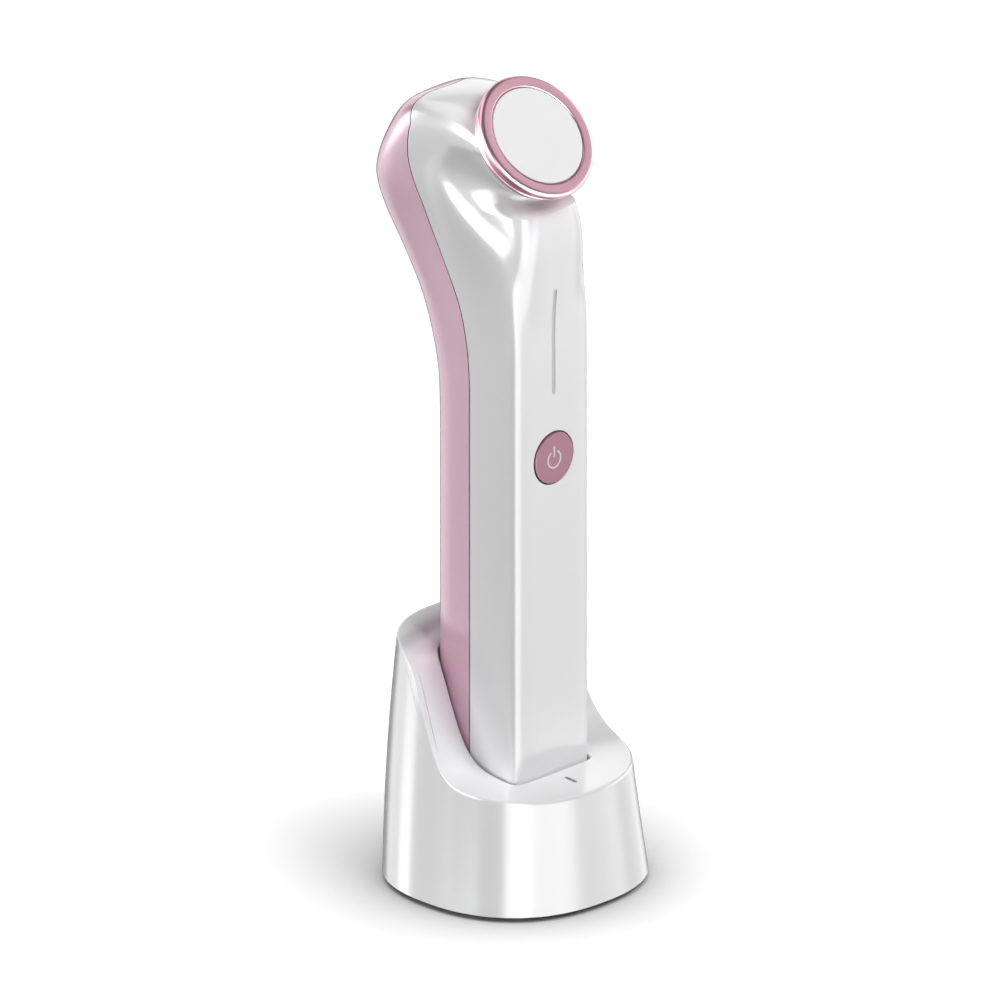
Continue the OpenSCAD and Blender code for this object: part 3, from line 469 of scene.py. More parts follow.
class Tree:
    """Short-hand for the nodes of one material or node group."""

    def __init__(self, tree: bpy.types.NodeTree) -> None:
        """Start on an empty tree."""
        self.tree = tree
        tree.nodes.clear()

    def add(self, kind: str, label: str = "", **inputs: object) -> bpy.types.Node:
        """Add a node and set or link its inputs.

        Args:
            kind: the node's type.
            label: its label, in a maker's words.
            inputs: values or sockets by input name, with _ for a space.

        Returns:
            The node.
        """
        node = self.tree.nodes.new(kind)
        node.label = label
        for name, value in inputs.items():
            self.put(node.inputs[name.replace("_", " ")], value)
        return node

    def effect(self, made: bpy.types.NodeTree, **inputs: object) -> bpy.types.Node:
        """Place a shared effect and set or link its inputs.

        Args:
            made: the effect's node group.
            inputs: values or sockets by input name.

        Returns:
            The node.
        """
        node = self.tree.nodes.new("ShaderNodeGroup")
        node.node_tree = made
        for name, value in inputs.items():
            self.put(node.inputs[name], value)
        return node

    def put(self, socket: bpy.types.NodeSocket, value: object) -> None:
        """Link a socket to another one, or set its value.

        Args:
            socket: the input.
            value: a socket to link to it, or its value.
        """
        if isinstance(value, bpy.types.NodeSocket):
            self.tree.links.new(value, socket)
        else:
            socket.default_value = value

    def math(self, kind: str, a: object, b: object = 0.0, clamp: bool = False) -> bpy.types.NodeSocket:
        """A Math node's result.

        Args:
            kind: the operation.
            a: a socket or a number.
            b: a socket or a number.
            clamp: whether the result stays from 0 to 1.

        Returns:
            The result.
        """
        node = self.tree.nodes.new("ShaderNodeMath")
        node.operation = kind
        node.use_clamp = clamp
        self.put(node.inputs[0], a)
        self.put(node.inputs[1], b)
        return node.outputs[0]

    def blend(self, share: object, a: object, b: object) -> bpy.types.NodeSocket:
        """A colour a share of the way from colour a to colour b.

        Args:
            share: a socket or a number, from 0 to 1.
            a: the colour at share 0.
            b: the colour at share 1.

        Returns:
            The blended colour.
        """
        node = self.tree.nodes.new("ShaderNodeMix")
        node.data_type = "RGBA"
        self.put(node.inputs["Factor"], share)
        self.put(node.inputs[6], a)
        self.put(node.inputs[7], b)
        return node.outputs[2]


def rgba(colour: Colour) -> tuple[float, float, float, float]:
    """A colour with full cover."""
    return (*colour, 1.0)


def group(name: str, inputs: dict[str, float], outputs: dict[str, str],
          fill: Callable[[Tree, bpy.types.Node, bpy.types.Node], None]) -> bpy.types.NodeTree:
    """Build a shared effect as a node group, once.

    Args:
        name: the group's name.
        inputs: names and values of its inputs; a vector input comes first by itself.
        outputs: names and socket types of its outputs.
        fill: adds the nodes between the group's input and output.

    Returns:
        The group.
    """
    found = bpy.data.node_groups.get(name)
    if found:
        return found
    made = bpy.data.node_groups.new(name, "ShaderNodeTree")
    made.interface.new_socket(name="Place", in_out="INPUT", socket_type="NodeSocketVector")
    for key, value in inputs.items():
        socket = made.interface.new_socket(name=key, in_out="INPUT", socket_type="NodeSocketFloat")
        socket.default_value = value
    for key, kind in outputs.items():
        made.interface.new_socket(name=key, in_out="OUTPUT", socket_type=kind)
    tree = Tree(made)
    fill(tree, made.nodes.new("NodeGroupInput"), made.nodes.new("NodeGroupOutput"))
    return made


def moulding_grain() -> bpy.types.NodeTree:
    """Group: the faint ripple of a moulded skin, with handling marks and dust.

    Returns:
        The group, with Height, Marks and Dust.
    """
    def fill(tree: Tree, given: bpy.types.Node, out: bpy.types.Node) -> None:
        """Add the ripple, the marks and the dust.

        Args:
            tree: the nodes of the material or group.
            given: the group's input.
            out: the group's output.
        """
        place = given.outputs["Place"]
        ripple = tree.add("ShaderNodeTexNoise", "ripple", Vector=place,
                          Scale=given.outputs["Ripple"], Detail=2.0)
        grain = tree.add("ShaderNodeTexNoise", "grain", Vector=place,
                         Scale=given.outputs["Grain"], Detail=3.0)
        height = tree.math("ADD", tree.math("MULTIPLY", ripple.outputs["Fac"], 0.8),
                           tree.math("MULTIPLY", grain.outputs["Fac"], 0.2))
        tree.put(out.inputs["Height"], height)
        hands = tree.add("ShaderNodeTexNoise", "handling", Vector=place,
                         Scale=38.0, Detail=5.0, Roughness=0.6)
        marks = tree.add("ShaderNodeMapRange", "marks", Value=hands.outputs["Fac"],
                         From_Min=0.48, From_Max=0.72)
        tree.put(out.inputs["Marks"], marks.outputs["Result"])
        specks = tree.add("ShaderNodeTexVoronoi", "dust", Vector=place, Scale=420.0, Randomness=1.0)
        dust = tree.add("ShaderNodeMapRange", "dust mask", Value=specks.outputs["Distance"],
                        From_Min=0.10, From_Max=0.02)
        tree.put(out.inputs["Dust"], dust.outputs["Result"])
    return group("moulding_grain", {"Ripple": 160.0, "Grain": 1500.0},
                 {"Height": "NodeSocketFloat", "Marks": "NodeSocketFloat", "Dust": "NodeSocketFloat"}, fill)


def turning_marks() -> bpy.types.NodeTree:
    """Group: fine circles left by turning, about the Z axis of the given place.

    Returns:
        The group, with Height and Patches.
    """
    def fill(tree: Tree, given: bpy.types.Node, out: bpy.types.Node) -> None:
        """Add the circles and their uneven depth.

        Args:
            tree: the nodes of the material or group.
            given: the group's input.
            out: the group's output.
        """
        parts = tree.add("ShaderNodeSeparateXYZ", Vector=given.outputs["Place"])
        flat = tree.add("ShaderNodeCombineXYZ", X=parts.outputs["X"], Y=parts.outputs["Y"])
        length = tree.tree.nodes.new("ShaderNodeVectorMath")
        length.operation = "LENGTH"
        tree.put(length.inputs[0], flat.outputs[0])
        along = tree.math("ADD", length.outputs["Value"], tree.math("MULTIPLY", parts.outputs["Z"], 1.7))
        line = tree.add("ShaderNodeCombineXYZ", X=tree.math("MULTIPLY", along, given.outputs["Fineness"]))
        cuts = tree.add("ShaderNodeTexNoise", "cuts", Vector=line.outputs[0], Scale=1.0, Detail=3.0)
        tree.put(out.inputs["Height"], cuts.outputs["Fac"])
        patches = tree.add("ShaderNodeTexNoise", "patches", Vector=given.outputs["Place"],
                           Scale=120.0, Detail=2.0)
        tree.put(out.inputs["Patches"], patches.outputs["Fac"])
    return group("turning_marks", {"Fineness": 9000.0},
                 {"Height": "NodeSocketFloat", "Patches": "NodeSocketFloat"}, fill)


@dataclass(frozen=True)
class Finish:
    """What every finish has: a name, a colour and how it reflects."""

    name: str
    colour: Colour
    roughness: float = 0.4
    metallic: float = 0.0
    coat: float = 0.0
    coat_roughness: float = 0.05
    ior: float = 1.46
    bump: float = 0.02
    ripple: float = 160.0
    grain: float = 1500.0
    tint: float = 0.03
    subsurface: float = 0.0

    def shader(self, tree: Tree) -> bpy.types.Node:
        """The Principled shader with the settings that don't change over the surface.

        Args:
            tree: the material's nodes.

        Returns:
            The shader.
        """
        shader = tree.add("ShaderNodeBsdfPrincipled", Metallic=self.metallic, IOR=self.ior,
                          Coat_Weight=self.coat, Coat_Roughness=self.coat_roughness)
        if self.subsurface:
            shader.inputs["Subsurface Weight"].default_value = self.subsurface
            shader.inputs["Subsurface Radius"].default_value = (1.0, 0.85, 0.8)
            shader.inputs["Subsurface Scale"].default_value = 1.2 * MM
        return shader

    def material(self) -> Material:
        """The finish as a node material, built once.

        Returns:
            The material.
        """
        name = f"{self.name}_finish"
        found = bpy.data.materials.get(name)
        if found:
            return found
        made = bpy.data.materials.new(name)
        made.use_nodes = True
        made.diffuse_color = rgba(self.colour)
        tree = Tree(made.node_tree)
        shader = self.shader(tree)
        tree.add("ShaderNodeOutputMaterial", Surface=shader.outputs[0])
        place = tree.add("ShaderNodeTexCoord").outputs["Object"]
        self.dress(tree, shader, place)
        return made

    def dress(self, tree: Tree, shader: bpy.types.Node, place: bpy.types.NodeSocket) -> None:
        """Moulded skin: handling marks in the gloss, dust and a faint ripple.

        Args:
            tree: the material's nodes.
            shader: its Principled shader.
            place: Object coordinates.
        """
        grain = tree.effect(moulding_grain(), Place=place, Ripple=self.ripple, Grain=self.grain)
        shade = tuple(c * (1 - self.tint) for c in self.colour)
        tree.put(shader.inputs["Base Color"],
                 tree.blend(grain.outputs["Marks"], rgba(self.colour), rgba(shade)))
        rough = tree.math("ADD", tree.math("MULTIPLY", grain.outputs["Marks"], MARKS_DULL), self.roughness)
        dusty = tree.math("MULTIPLY", grain.outputs["Dust"], DUST_DULLS)
        tree.put(shader.inputs["Roughness"], tree.math("ADD", dusty, rough, clamp=True))
        self.raise_bump(tree, shader, grain.outputs["Height"], SKIN_DEPTH)

    def raise_bump(self, tree: Tree, shader: bpy.types.Node, height: bpy.types.NodeSocket,
                   depth: float) -> None:
        """Lead a height through a Bump node into the shader; depth is in millimetres.

        Args:
            tree: the material's nodes.
            shader: its Principled shader.
            height: the height.
            depth: depth of the full height, in millimetres.
        """
        bump = tree.add("ShaderNodeBump", Strength=self.bump, Height=height)
        bump.inputs["Distance"].default_value = depth * MM
        tree.put(shader.inputs["Normal"], bump.outputs[0])


@dataclass(frozen=True)
class Pearl(Finish):
    """A lacquer with fine flakes under a clear coat."""

    flake: Colour = (0.9, 0.6, 0.7)
    flake_share: float = 0.12
    flake_from: float = 0.6

    def dress(self, tree: Tree, shader: bpy.types.Node, place: bpy.types.NodeSocket) -> None:
        """Flakes in the colour over the moulded skin's marks.

        Args:
            tree: the material's nodes.
            shader: its Principled shader.
            place: Object coordinates.
        """
        Finish.dress(self, tree, shader, place)
        flakes = tree.add("ShaderNodeTexVoronoi", "flakes", Vector=place, Scale=6500.0)
        chosen = tree.math("GREATER_THAN", flakes.outputs["Color"], self.flake_from)
        lively = tree.math("MULTIPLY", chosen, self.flake_share)
        base = shader.inputs["Base Color"].links[0].from_socket
        tree.put(shader.inputs["Base Color"], tree.blend(lively, base, rgba(self.flake)))


@dataclass(frozen=True)
class Turned(Finish):
    """Metal or plastic with fine turned circles about a piece's axis."""

    middle: Place = (0.0, 0.0, 0.0)
    tilt: float = 0.0
    fineness: float = 9000.0

    def dress(self, tree: Tree, shader: bpy.types.Node, place: bpy.types.NodeSocket) -> None:
        """Turned circles in height and gloss.

        Args:
            tree: the material's nodes.
            shader: its Principled shader.
            place: Object coordinates.
        """
        axis = tree.add("ShaderNodeMapping", Vector=place)
        axis.vector_type = "TEXTURE"
        axis.inputs["Location"].default_value = tuple(c * MM for c in self.middle)
        axis.inputs["Rotation"].default_value = (math.radians(self.tilt), 0.0, 0.0)
        marks = tree.effect(turning_marks(), Place=axis.outputs[0], Fineness=self.fineness)
        shade = tuple(c * (1 - self.tint) for c in self.colour)
        tree.put(shader.inputs["Base Color"],
                 tree.blend(marks.outputs["Patches"], rgba(self.colour), rgba(shade)))
        rough = tree.math("MULTIPLY", marks.outputs["Height"], CUTS_DULL)
        tree.put(shader.inputs["Roughness"],
                 tree.math("ADD", rough, self.roughness - CUTS_DULL / 2, clamp=True))
        self.raise_bump(tree, shader, marks.outputs["Height"], SKIN_DEPTH)


HEAD_MIDDLE: Place = (0.0, -9.6, 201.4)
HEAD_TURN = 48.0
WHITE_GLOSS = Finish("white_gloss", (0.82, 0.82, 0.83), roughness=0.36, coat=0.8, coat_roughness=0.14,
                     bump=0.03, tint=0.004)
DOCK_GLOSS = Finish("dock_gloss", (0.82, 0.82, 0.83), roughness=0.3, coat=1.0, coat_roughness=0.16,
                    bump=0.03, tint=0.004)
ROSE_GLOSS = Pearl("rose_gloss", (0.65, 0.41, 0.50), roughness=0.3, metallic=0.12, coat=0.6,
                   bump=0.03, tint=0.004)
# Near-black finish for the rear casing's wall edges: painted shade that darkens the parting gap.
SEAM_SHADE = Finish("bare_shell", (0.05, 0.03, 0.035), roughness=0.5, bump=0.2)
ROSE_RING = Turned("rose_ring", (0.56, 0.31, 0.38), roughness=0.3, metallic=0.9, coat=0.4, bump=0.12,
                   middle=HEAD_MIDDLE, tilt=HEAD_TURN)
ROSE_BUTTON = Turned("rose_button", (0.22, 0.09, 0.13), roughness=0.36, metallic=0.3, bump=0.12,
                     middle=(0.0, -15.0, 116.0), tilt=90.0)
PLATE_SATIN = Turned("plate_satin", (0.82, 0.82, 0.825), roughness=0.5, bump=0.04, tint=0.01,
                     middle=HEAD_MIDDLE, tilt=HEAD_TURN, fineness=5000.0)
ICON_PAINT = Finish("icon_paint", (0.92, 0.86, 0.88), roughness=0.45)
FROST = Finish("frosted_guide", (0.72, 0.72, 0.73), roughness=0.5, subsurface=0.3)
DARK_RUBBER = Finish("foot_rubber", (0.05, 0.05, 0.052), roughness=0.75, bump=0.3, grain=2600.0)
SEAL_RUBBER = Finish("seal_rubber", (0.22, 0.22, 0.23), roughness=0.65, bump=0.25, grain=2600.0)
FILM = Finish("warming_film", (0.55, 0.25, 0.08), roughness=0.35)
GREY_PLASTIC = Finish("grey_plastic", (0.28, 0.29, 0.31), roughness=0.5, bump=0.25)
BLACK_PLASTIC = Finish("black_plastic", (0.03, 0.03, 0.033), roughness=0.42, bump=0.2)
STEEL = Finish("steel", (0.55, 0.55, 0.57), roughness=0.3, metallic=1.0, bump=0.1)
SHELL_STEEL = Finish("socket_steel", (0.62, 0.62, 0.63), roughness=0.25, metallic=1.0, bump=0.05)
LEAD = Finish("lead_insulation", (0.35, 0.04, 0.04), roughness=0.45)
SLEEVE = Finish("cell_sleeve", (0.06, 0.22, 0.42), roughness=0.35, coat=0.2)
BOARD = Finish("board", (0.01, 0.10, 0.05), roughness=0.4, coat=0.3, bump=0.3, ripple=700.0, tint=0.3)
GOLD = Finish("contact_gold", (0.83, 0.62, 0.28), roughness=0.22, metallic=1.0, bump=0.05)
LAMP = Finish("lamp", (0.75, 0.74, 0.55), roughness=0.3)
PIPE = Finish("light_pipe", (0.16, 0.16, 0.17), roughness=0.3, coat=0.3)

CARRIED_FINISH: dict[str, Finish] = {
    "plate_seal": SEAL_RUBBER, "warming_film": FILM, "backing_pad": SEAL_RUBBER,
    "plate_carrier": WHITE_GLOSS, "motor_holder": GREY_PLASTIC, "holder_screws": STEEL,
    "motor_can": STEEL, "motor_shaft": STEEL, "motor_weight": STEEL, "head_leads": LEAD,
    "motor_leads": LEAD, "chassis": GREY_PLASTIC, "battery_cell": SLEEVE,
    "battery_straps": BLACK_PLASTIC, "battery_leads": LEAD, "main_board": BOARD,
    "board_screws": STEEL, "push_switch": BLACK_PLASTIC, "switch_plunger": BLACK_PLASTIC,
    "button_pad": SEAL_RUBBER, "indicator_leds": LAMP, "light_guide": FROST,
    "bottom_cap": WHITE_GLOSS, "charge_contacts": GOLD, "charge_leads": LEAD,
    "dock_base": WHITE_GLOSS, "foot_pad": DARK_RUBBER, "ballast_plate": STEEL,
    "base_screws": STEEL, "dock_board": BOARD, "dock_board_screws": STEEL,
    "power_socket": SHELL_STEEL, "dock_led": LAMP, "dock_light_pipe": PIPE, "pin_barrels": GOLD,
    "pin_spring_left": STEEL, "pin_spring_right": STEEL,
    "contact_pin_left": GOLD, "contact_pin_right": GOLD,
}


def dress(obj: Object, finish: Finish) -> Object:
    """Put one finish on a piece, in place of what it had.

    Args:
        obj: the piece.
        finish: its finish.

    Returns:
        The same piece.
    """
    obj.data.materials.clear()
    obj.data.materials.append(finish.material())
    return obj


def ride(obj: Object, body: str, slot: str, finish: Finish, *nodes: str) -> Object:
    """Finish a piece and hand it to its body.

    Args:
        obj: the new piece.
        body: the body that it moves with.
        slot: the record's material slot.
        finish: its finish.
        nodes: the nodes that it stands for.

    Returns:
        The same piece.
    """
    dress(obj, finish)
    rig.ride(obj, body)
    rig.slot(obj, slot)
    if nodes:
        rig.replaces(obj, *nodes)
    LOG.info("%s rides on %s, with %s", obj.name, body, finish.name)
    return obj


# --- The handset's form ---------------------------------------------------------------------
class Column(IntEnum):
    """What each column of the table of sections holds."""

    STATION = 0
    NOSE = 1
    SHOULDER = 2
    WIDEST = 3
    BACK = 4
    SIDE = 5
    THROAT = 6
    FULLNESS = 7
    SQUARE = 8
    FILLET = 9
    PARTING = 10


@dataclass(frozen=True)
class Section:
    """One cross-section: depths from the pivot's line, half its width and how square it is."""

    nose: float
    shoulder: float
    widest: float
    back: float
    half: float
    throat: float
    nose_fullness: float
    front_square: float
    back_square: float
    fillet: float

    @staticmethod
    def oval(c: float, s: float, reach: float, half: float, n: float) -> float:
        """Radius of a squared oval in the direction (c, s)."""
        return ((c / reach) ** n + (s / half) ** n) ** (-1 / n)

    def radius(self, angle: float) -> float:
        """Radius about the widest place; angle 0 looks to the front, in degrees.

        Args:
            angle: angle about the widest place, 0 to the front, in degrees.

        Returns:
            The radius there.
        """
        c, s = math.cos(math.radians(angle)), abs(math.sin(math.radians(angle)))
        if c >= 0:
            outer = self.oval(c, s, self.widest - self.shoulder, self.half, self.front_square)
            nose = self.oval(c, s, self.widest - self.nose, self.half - self.throat, self.nose_fullness)
            soft = self.fillet * c
            h = max(soft - abs(outer - nose), 0) / max(soft, 0.01)
            return max(outer, nose) + h * h * h * soft / 6
        return self.oval(-c, s, self.back - self.widest, self.half, self.back_square)


@dataclass
class HandsetForm:
    """The handset's outer surface, as a function of station along it and angle round it.

    Below the pivot a section is level; above it, sections turn about the pivot like a fan until
    they are square to the plate's axis.
    """

    handle_w: float = 27.0
    handle_d: float = 30.0
    base_z: float = 16.0
    plate_rise: float = 185.4
    plate_setback: float = 5.4
    head_tilt: float = 42.0
    neck_r: float = 13.0
    ring_depth: float = 5.2
    pivot_drop: float = 21.0
    fan_end: float = 24.0
    seam_back: float = 1.1
    seam_top: float = 16.0
    seam_bend: float = 11.0
    arch_pull: float = 1.6
    hip: float = 80.0
    back_fullness: float = 5.4
    rows: list[tuple[float, ...]] = field(default_factory=list)

    def __post_init__(self) -> None:
        """Work out the pivot and the table of sections."""
        tilt = math.radians(self.head_tilt)
        face_y = -self.handle_d / 2
        self.pivot_y = (face_y + self.plate_setback + self.ring_depth * math.cos(tilt)
                        - self.pivot_drop * math.sin(tilt))
        self.pivot_z = (self.base_z + self.plate_rise - self.ring_depth * math.sin(tilt)
                        - self.pivot_drop * math.cos(tilt))
        self.fan_rate = (90 - self.head_tilt) / self.fan_end
        self.front_t = face_y - self.pivot_y
        self.back_t = self.handle_d / 2 - self.pivot_y
        share = self.seam_back / (self.handle_d / 2)
        front = self.pivot_drop - self.neck_r - self.front_t
        # The columns are those of Column, in its order.
        self.rows = [
            (-67, 3.0, 0.0, 15.0, 0.0, 0.0, 0.0, 5.0, 12.0, 2.0, share),
            (-57, 3.0, 0.0, 15.0, 0.1, 0.0, 0.0, 5.0, 12.0, 2.0, share),
            (-47, 3.0, 0.0, 15.0, 0.7, 0.0, 0.0, 5.0, 12.0, 2.0, share),
            (-37, 2.2, 0.0, 15.5, 3.2, 0.0, 0.1, 4.8, 12.0, 2.0, 0.09),
            (-27, 0.2, 0.4, 18.0, 7.3, 0.0, 0.1, 5.0, 12.0, 2.5, 0.09),
            (-17, -0.9, 2.4, 22.8, 13.7, 0.0, 0.1, 5.4, 12.0, 5.0, 0.1),
            (-8, -1.5, 7.4, 28.1, 20.0, 0.1, 0.4, 5.2, 11.0, 10.0, 0.08),
            (0, -0.6, 19.5, 32.6, 22.7, 0.3, 0.8, 4.1, 9.0, 13.0, 0.08),
            (6, 1.4, 24.0, 33.1, 20.7, 0.4, 0.8, 2.7, 4.0, 15.0, 0.3),
            (12, 2.8, 22.0, 29.6, 17.4, 0.4, 0.8, 2.1, 2.8, 14.0, 0.6),
            (18, 3.2, 16.0, 23.1, 8.7, 0.2, 0.8, 2.1, 2.6, 8.0, 1.0),
            (self.fan_end, front, front + 5, self.pivot_drop - self.front_t,
             self.pivot_drop + self.neck_r - self.back_t, self.neck_r - self.handle_w / 2,
             0.0, 2.0, 2.0, 2.0, 1.0),
        ]

    def slope(self, i: int, column: Column) -> float:
        """Slope of a column of the table at row i."""
        low, high = self.rows[max(i - 1, 0)], self.rows[min(i + 1, len(self.rows) - 1)]
        return (high[column] - low[column]) / (high[Column.STATION] - low[Column.STATION])

    def curve(self, s: float, column: Column) -> float:
        """The smooth curve through a column of the table, at station s.

        Args:
            s: station along the handset.
            column: the column.

        Returns:
            The column's value there.
        """
        rows = self.rows
        if s <= rows[0][Column.STATION]:
            return rows[0][column]
        i = 0
        while i < len(rows) - 2 and rows[i + 1][Column.STATION] <= s:
            i += 1
        h = rows[i + 1][Column.STATION] - rows[i][Column.STATION]
        u = (s - rows[i][Column.STATION]) / h
        p, q = rows[i][column], rows[i + 1][column]
        return (p + (q - p) * (3 * u * u - 2 * u ** 3)
                + h * self.slope(i, column) * u * (1 - u) ** 2
                - h * self.slope(i + 1, column) * u * u * (1 - u))

    def section(self, s: float, inset: float = 0.0) -> Section:
        """The section at station s, drawn in by inset.

        Args:
            s: station along the handset.
            inset: how far the section is drawn in.

        Returns:
            The section.
        """
        fade = limited(s / self.fan_end, 0.0, 1.0)
        return Section(
            self.front_t + self.curve(s, Column.NOSE) + inset,
            self.front_t + self.curve(s, Column.SHOULDER) + inset,
            self.front_t + self.curve(s, Column.WIDEST),
            self.back_t + self.curve(s, Column.BACK) - inset,
            self.handle_w / 2 + self.curve(s, Column.SIDE) - inset,
            self.curve(s, Column.THROAT),
            self.curve(s, Column.FULLNESS),
            self.curve(s, Column.SQUARE),
            mix(self.back_fullness, 2, fade),
            self.curve(s, Column.FILLET),
        )

    def place(self, s: float, x: float, t: float) -> Place:
        """A place on station s, from its x and its depth t.

        Args:
            s: station along the handset.
            x: distance to the side.
            t: depth from the pivot's line.

        Returns:
            The place, in the part's frame.
        """
        if s <= 0:
            return (x, self.pivot_y + t, self.pivot_z + s)
        a = math.radians(s * self.fan_rate)
        return (x, self.pivot_y + t * math.cos(a), self.pivot_z + t * math.sin(a))

    def point(self, s: float, q: Section, angle: float) -> Place:
        """A place on the surface, from station, section and angle.

        Args:
            s: station along the handset.
            q: its section.
            angle: angle round it, 0 to the front, in degrees.

        Returns:
            The place, in the part's frame.
        """
        r = q.radius(angle)
        a = math.radians(angle)
        return self.place(s, r * math.sin(a), q.widest - r * math.cos(a))

    def arch_top(self, gap: float = 0.0) -> float:
        """Station of the top of the parting line's arch, drawn in by gap."""
        return self.seam_top - gap / self.arch_pull

    def seam_angle(self, s: float, gap: float = 0.0) -> float:
        """Angle of the parting line at station s; 180 from its arch's top on.

        Args:
            s: station along the handset.
            gap: how far the line is drawn back from the parting.

        Returns:
            The angle, in degrees.
        """
        q = self.section(s)
        top = self.arch_top(gap)
        f = min(self.curve(s, Column.PARTING) + gap / (q.back - q.widest), 1.0)
        side = (1 - f ** q.back_square) ** (1 / q.back_square)
        bend = max(s - self.seam_bend, 0) / (top - self.seam_bend)
        share = side * math.sqrt(max(1 - bend * bend, 0))
        if share <= 0.01 or s >= top:
            return 180.0
        depth = (q.back - q.widest) * (1 - share ** q.back_square) ** (1 / q.back_square)
        return 90 + math.degrees(math.atan2(depth, q.half * share))

    def station(self, z: float) -> float:
        """Station of a level section at height z."""
        return z - self.pivot_z

    def front_y(self, x: float, z: float) -> float:
        """Depth of the handle's front at a place, below the fan.

        Args:
            x: distance to the side.
            z: height.

        Returns:
            The depth.
        """
        s = self.station(z)
        q = self.section(s)
        low, high = 0.0, self.hip
        for _ in range(SEARCH_STEPS):
            angle = (low + high) / 2
            if q.radius(angle) * math.sin(math.radians(angle)) < abs(x):
                low = angle
            else:
                high = angle
        return self.point(s, q, (low + high) / 2)[1]


class Side(Enum):
    """Which of the two casings, by the node that it stands for."""

    FRONT = "front_casing"
    REAR = "rear_casing"


@dataclass
class Casings:
    """The white front casing and the rose rear casing."""

    form: HandsetForm
    wall: float = 1.8
    seam_gap: float = 0.3
    bottom: float = 17.65
    columns: int = 132
    edge: float = 0.18
    button_z: float = 116.0
    button_hole: float = 7.1
    slit_z: float = 133.0
    slit_len: float = 28.5
    slit_half: float = 0.6
    button_columns: int = 18
    slit_columns: int = 5
    fine_from: float = 100.0
    fine_to: float = 168.0
    first_row: float = 0.4
    low_rows: int = 20
    fine_rows: int = 68
    bend_rows: int = 13
    fan_rows: int = 96
    arch_rows: int = 22
    past_arch: float = 0.05
    line_parts: int = 480
    bend_weight: float = 2.2
    edge_row: float = 0.35
    core_y: float = 5.0
    hole_margin: float = 2.2
    slit_margin: float = 2.0
    slit_edge: float = 0.6

    def stations(self, top: float) -> list[float]:
        """Stations of the rows of a skin, from its lower end up to station top.

        Args:
            top: the last station that is wanted.

        Returns:
            The stations.
        """
        f = self.form
        low = [f.station(z) for z in spread(self.bottom + self.first_row, self.fine_from, self.low_rows)]
        fine = [f.station(z) for z in spread(self.fine_from, self.fine_to, self.fine_rows)][1:]
        bend = spread(f.station(self.fine_to), 0.0, self.bend_rows)[1:]
        fan = spread(0.0, f.fan_end, self.fan_rows)[1:]
        arch_top = min(top, f.seam_top)
        arch = [arch_top - (arch_top - f.seam_bend) * (1 - math.sin(u * math.pi / 2))
                for u in spread(0.0, 1.0, self.arch_rows)]
        every = [f.station(self.bottom), *low, *fine, *bend, *[s for s in fan if s < f.seam_bend],
                 *arch, *[s for s in fan if s > f.seam_top + self.past_arch]]
        return [s for s in every if s <= top + 1e-6]

    def skin(self, side: Side) -> BMesh:
        """The outer sheet of one casing.

        Args:
            side: which casing it is.

        Returns:
            The sheet, with its faces outwards.
        """
        f, rear = self.form, side is Side.REAR
        top = f.arch_top(self.seam_gap) if rear else f.fan_end
        rows = []
        for s in self.stations(top):
            q = f.section(s)
            limit = f.seam_angle(s, self.seam_gap if rear else 0.0)
            first, last = (limit, 360 - limit) if rear else (-limit, limit)
            line = [f.point(s, q, a) for a in spread(first, last, self.line_parts)]
            closed = last - first <= 0.01
            rows.append([line[0]] * (self.columns + 1) if closed
                        else eased(line, self.columns, self.bend_weight, self.edge_row))
        bm = grid(rows)
        bmesh.ops.recalc_face_normals(bm, faces=bm.faces)
        middles = [(face.normal, face.calc_center_median()) for face in bm.faces]
        if sum(normal.dot(middle - Vector((0, self.core_y, middle.z))) for normal, middle in middles) < 0:
            bmesh.ops.reverse_faces(bm, faces=bm.faces)
        return bm

    def on_front(self, spot: Vector) -> Vector:
        """A place put on the handle's front surface."""
        return Vector((spot.x, self.form.front_y(spot.x, spot.z), spot.z))

    def round_hole(self, spot: Vector) -> Vector:
        """The place on the button hole's edge that faces a place."""
        away = Vector((spot.x, 0, spot.z - self.button_z)).normalized() * self.button_hole
        return Vector((away.x, spot.y, self.button_z + away.z))

    def slit_hole(self, spot: Vector) -> Vector:
        """The place on the indicator slit's edge that is nearest to a place."""
        z, x = on_slot(spot.z, spot.x, self.slit_z, self.slit_z + self.slit_len, self.slit_half)
        return Vector((x, spot.y, z))

    def build(self) -> list[Object]:
        """Make and dress both casings.

        Returns:
            The two casings.
        """
        bm = self.skin(Side.FRONT)
        reach, middle = self.button_hole + self.hole_margin, self.columns // 2
        slit_low, slit_high = self.slit_z - self.slit_margin, self.slit_z + self.slit_len + self.slit_margin
        button = open_window(
            bm, (middle - self.button_columns, middle + self.button_columns),
            lambda c: abs(c.z - self.button_z) < reach, self.round_hole, self.on_front)
        slit = open_window(
            bm, (middle - self.slit_columns, middle + self.slit_columns),
            lambda c: slit_low < c.z < slit_high, self.slit_hole, self.on_front)
        weigh(bm, [e for e in bm.edges if e.is_boundary], 1.0)
        weigh(bm, button, 1.0)
        weigh(bm, slit, self.slit_edge)
        front = walled(keep(bm, "front_casing_skin"), self.wall, self.edge)
        bm = self.skin(Side.REAR)
        weigh(bm, [e for e in bm.edges if e.is_boundary], 1.0)
        rear = walled(keep(bm, "rear_casing_skin"), self.wall, self.edge, bare_edge=True)
        made = [ride(front, "handset", "white_gloss", WHITE_GLOSS, Side.FRONT.value),
                ride(rear, "handset", "rose_gloss", ROSE_GLOSS, Side.REAR.value)]
        # The second finish is near-black painted shade on the wall's edges, which darkens the parting gap.
        rear.data.materials.append(SEAM_SHADE.material())
        return made


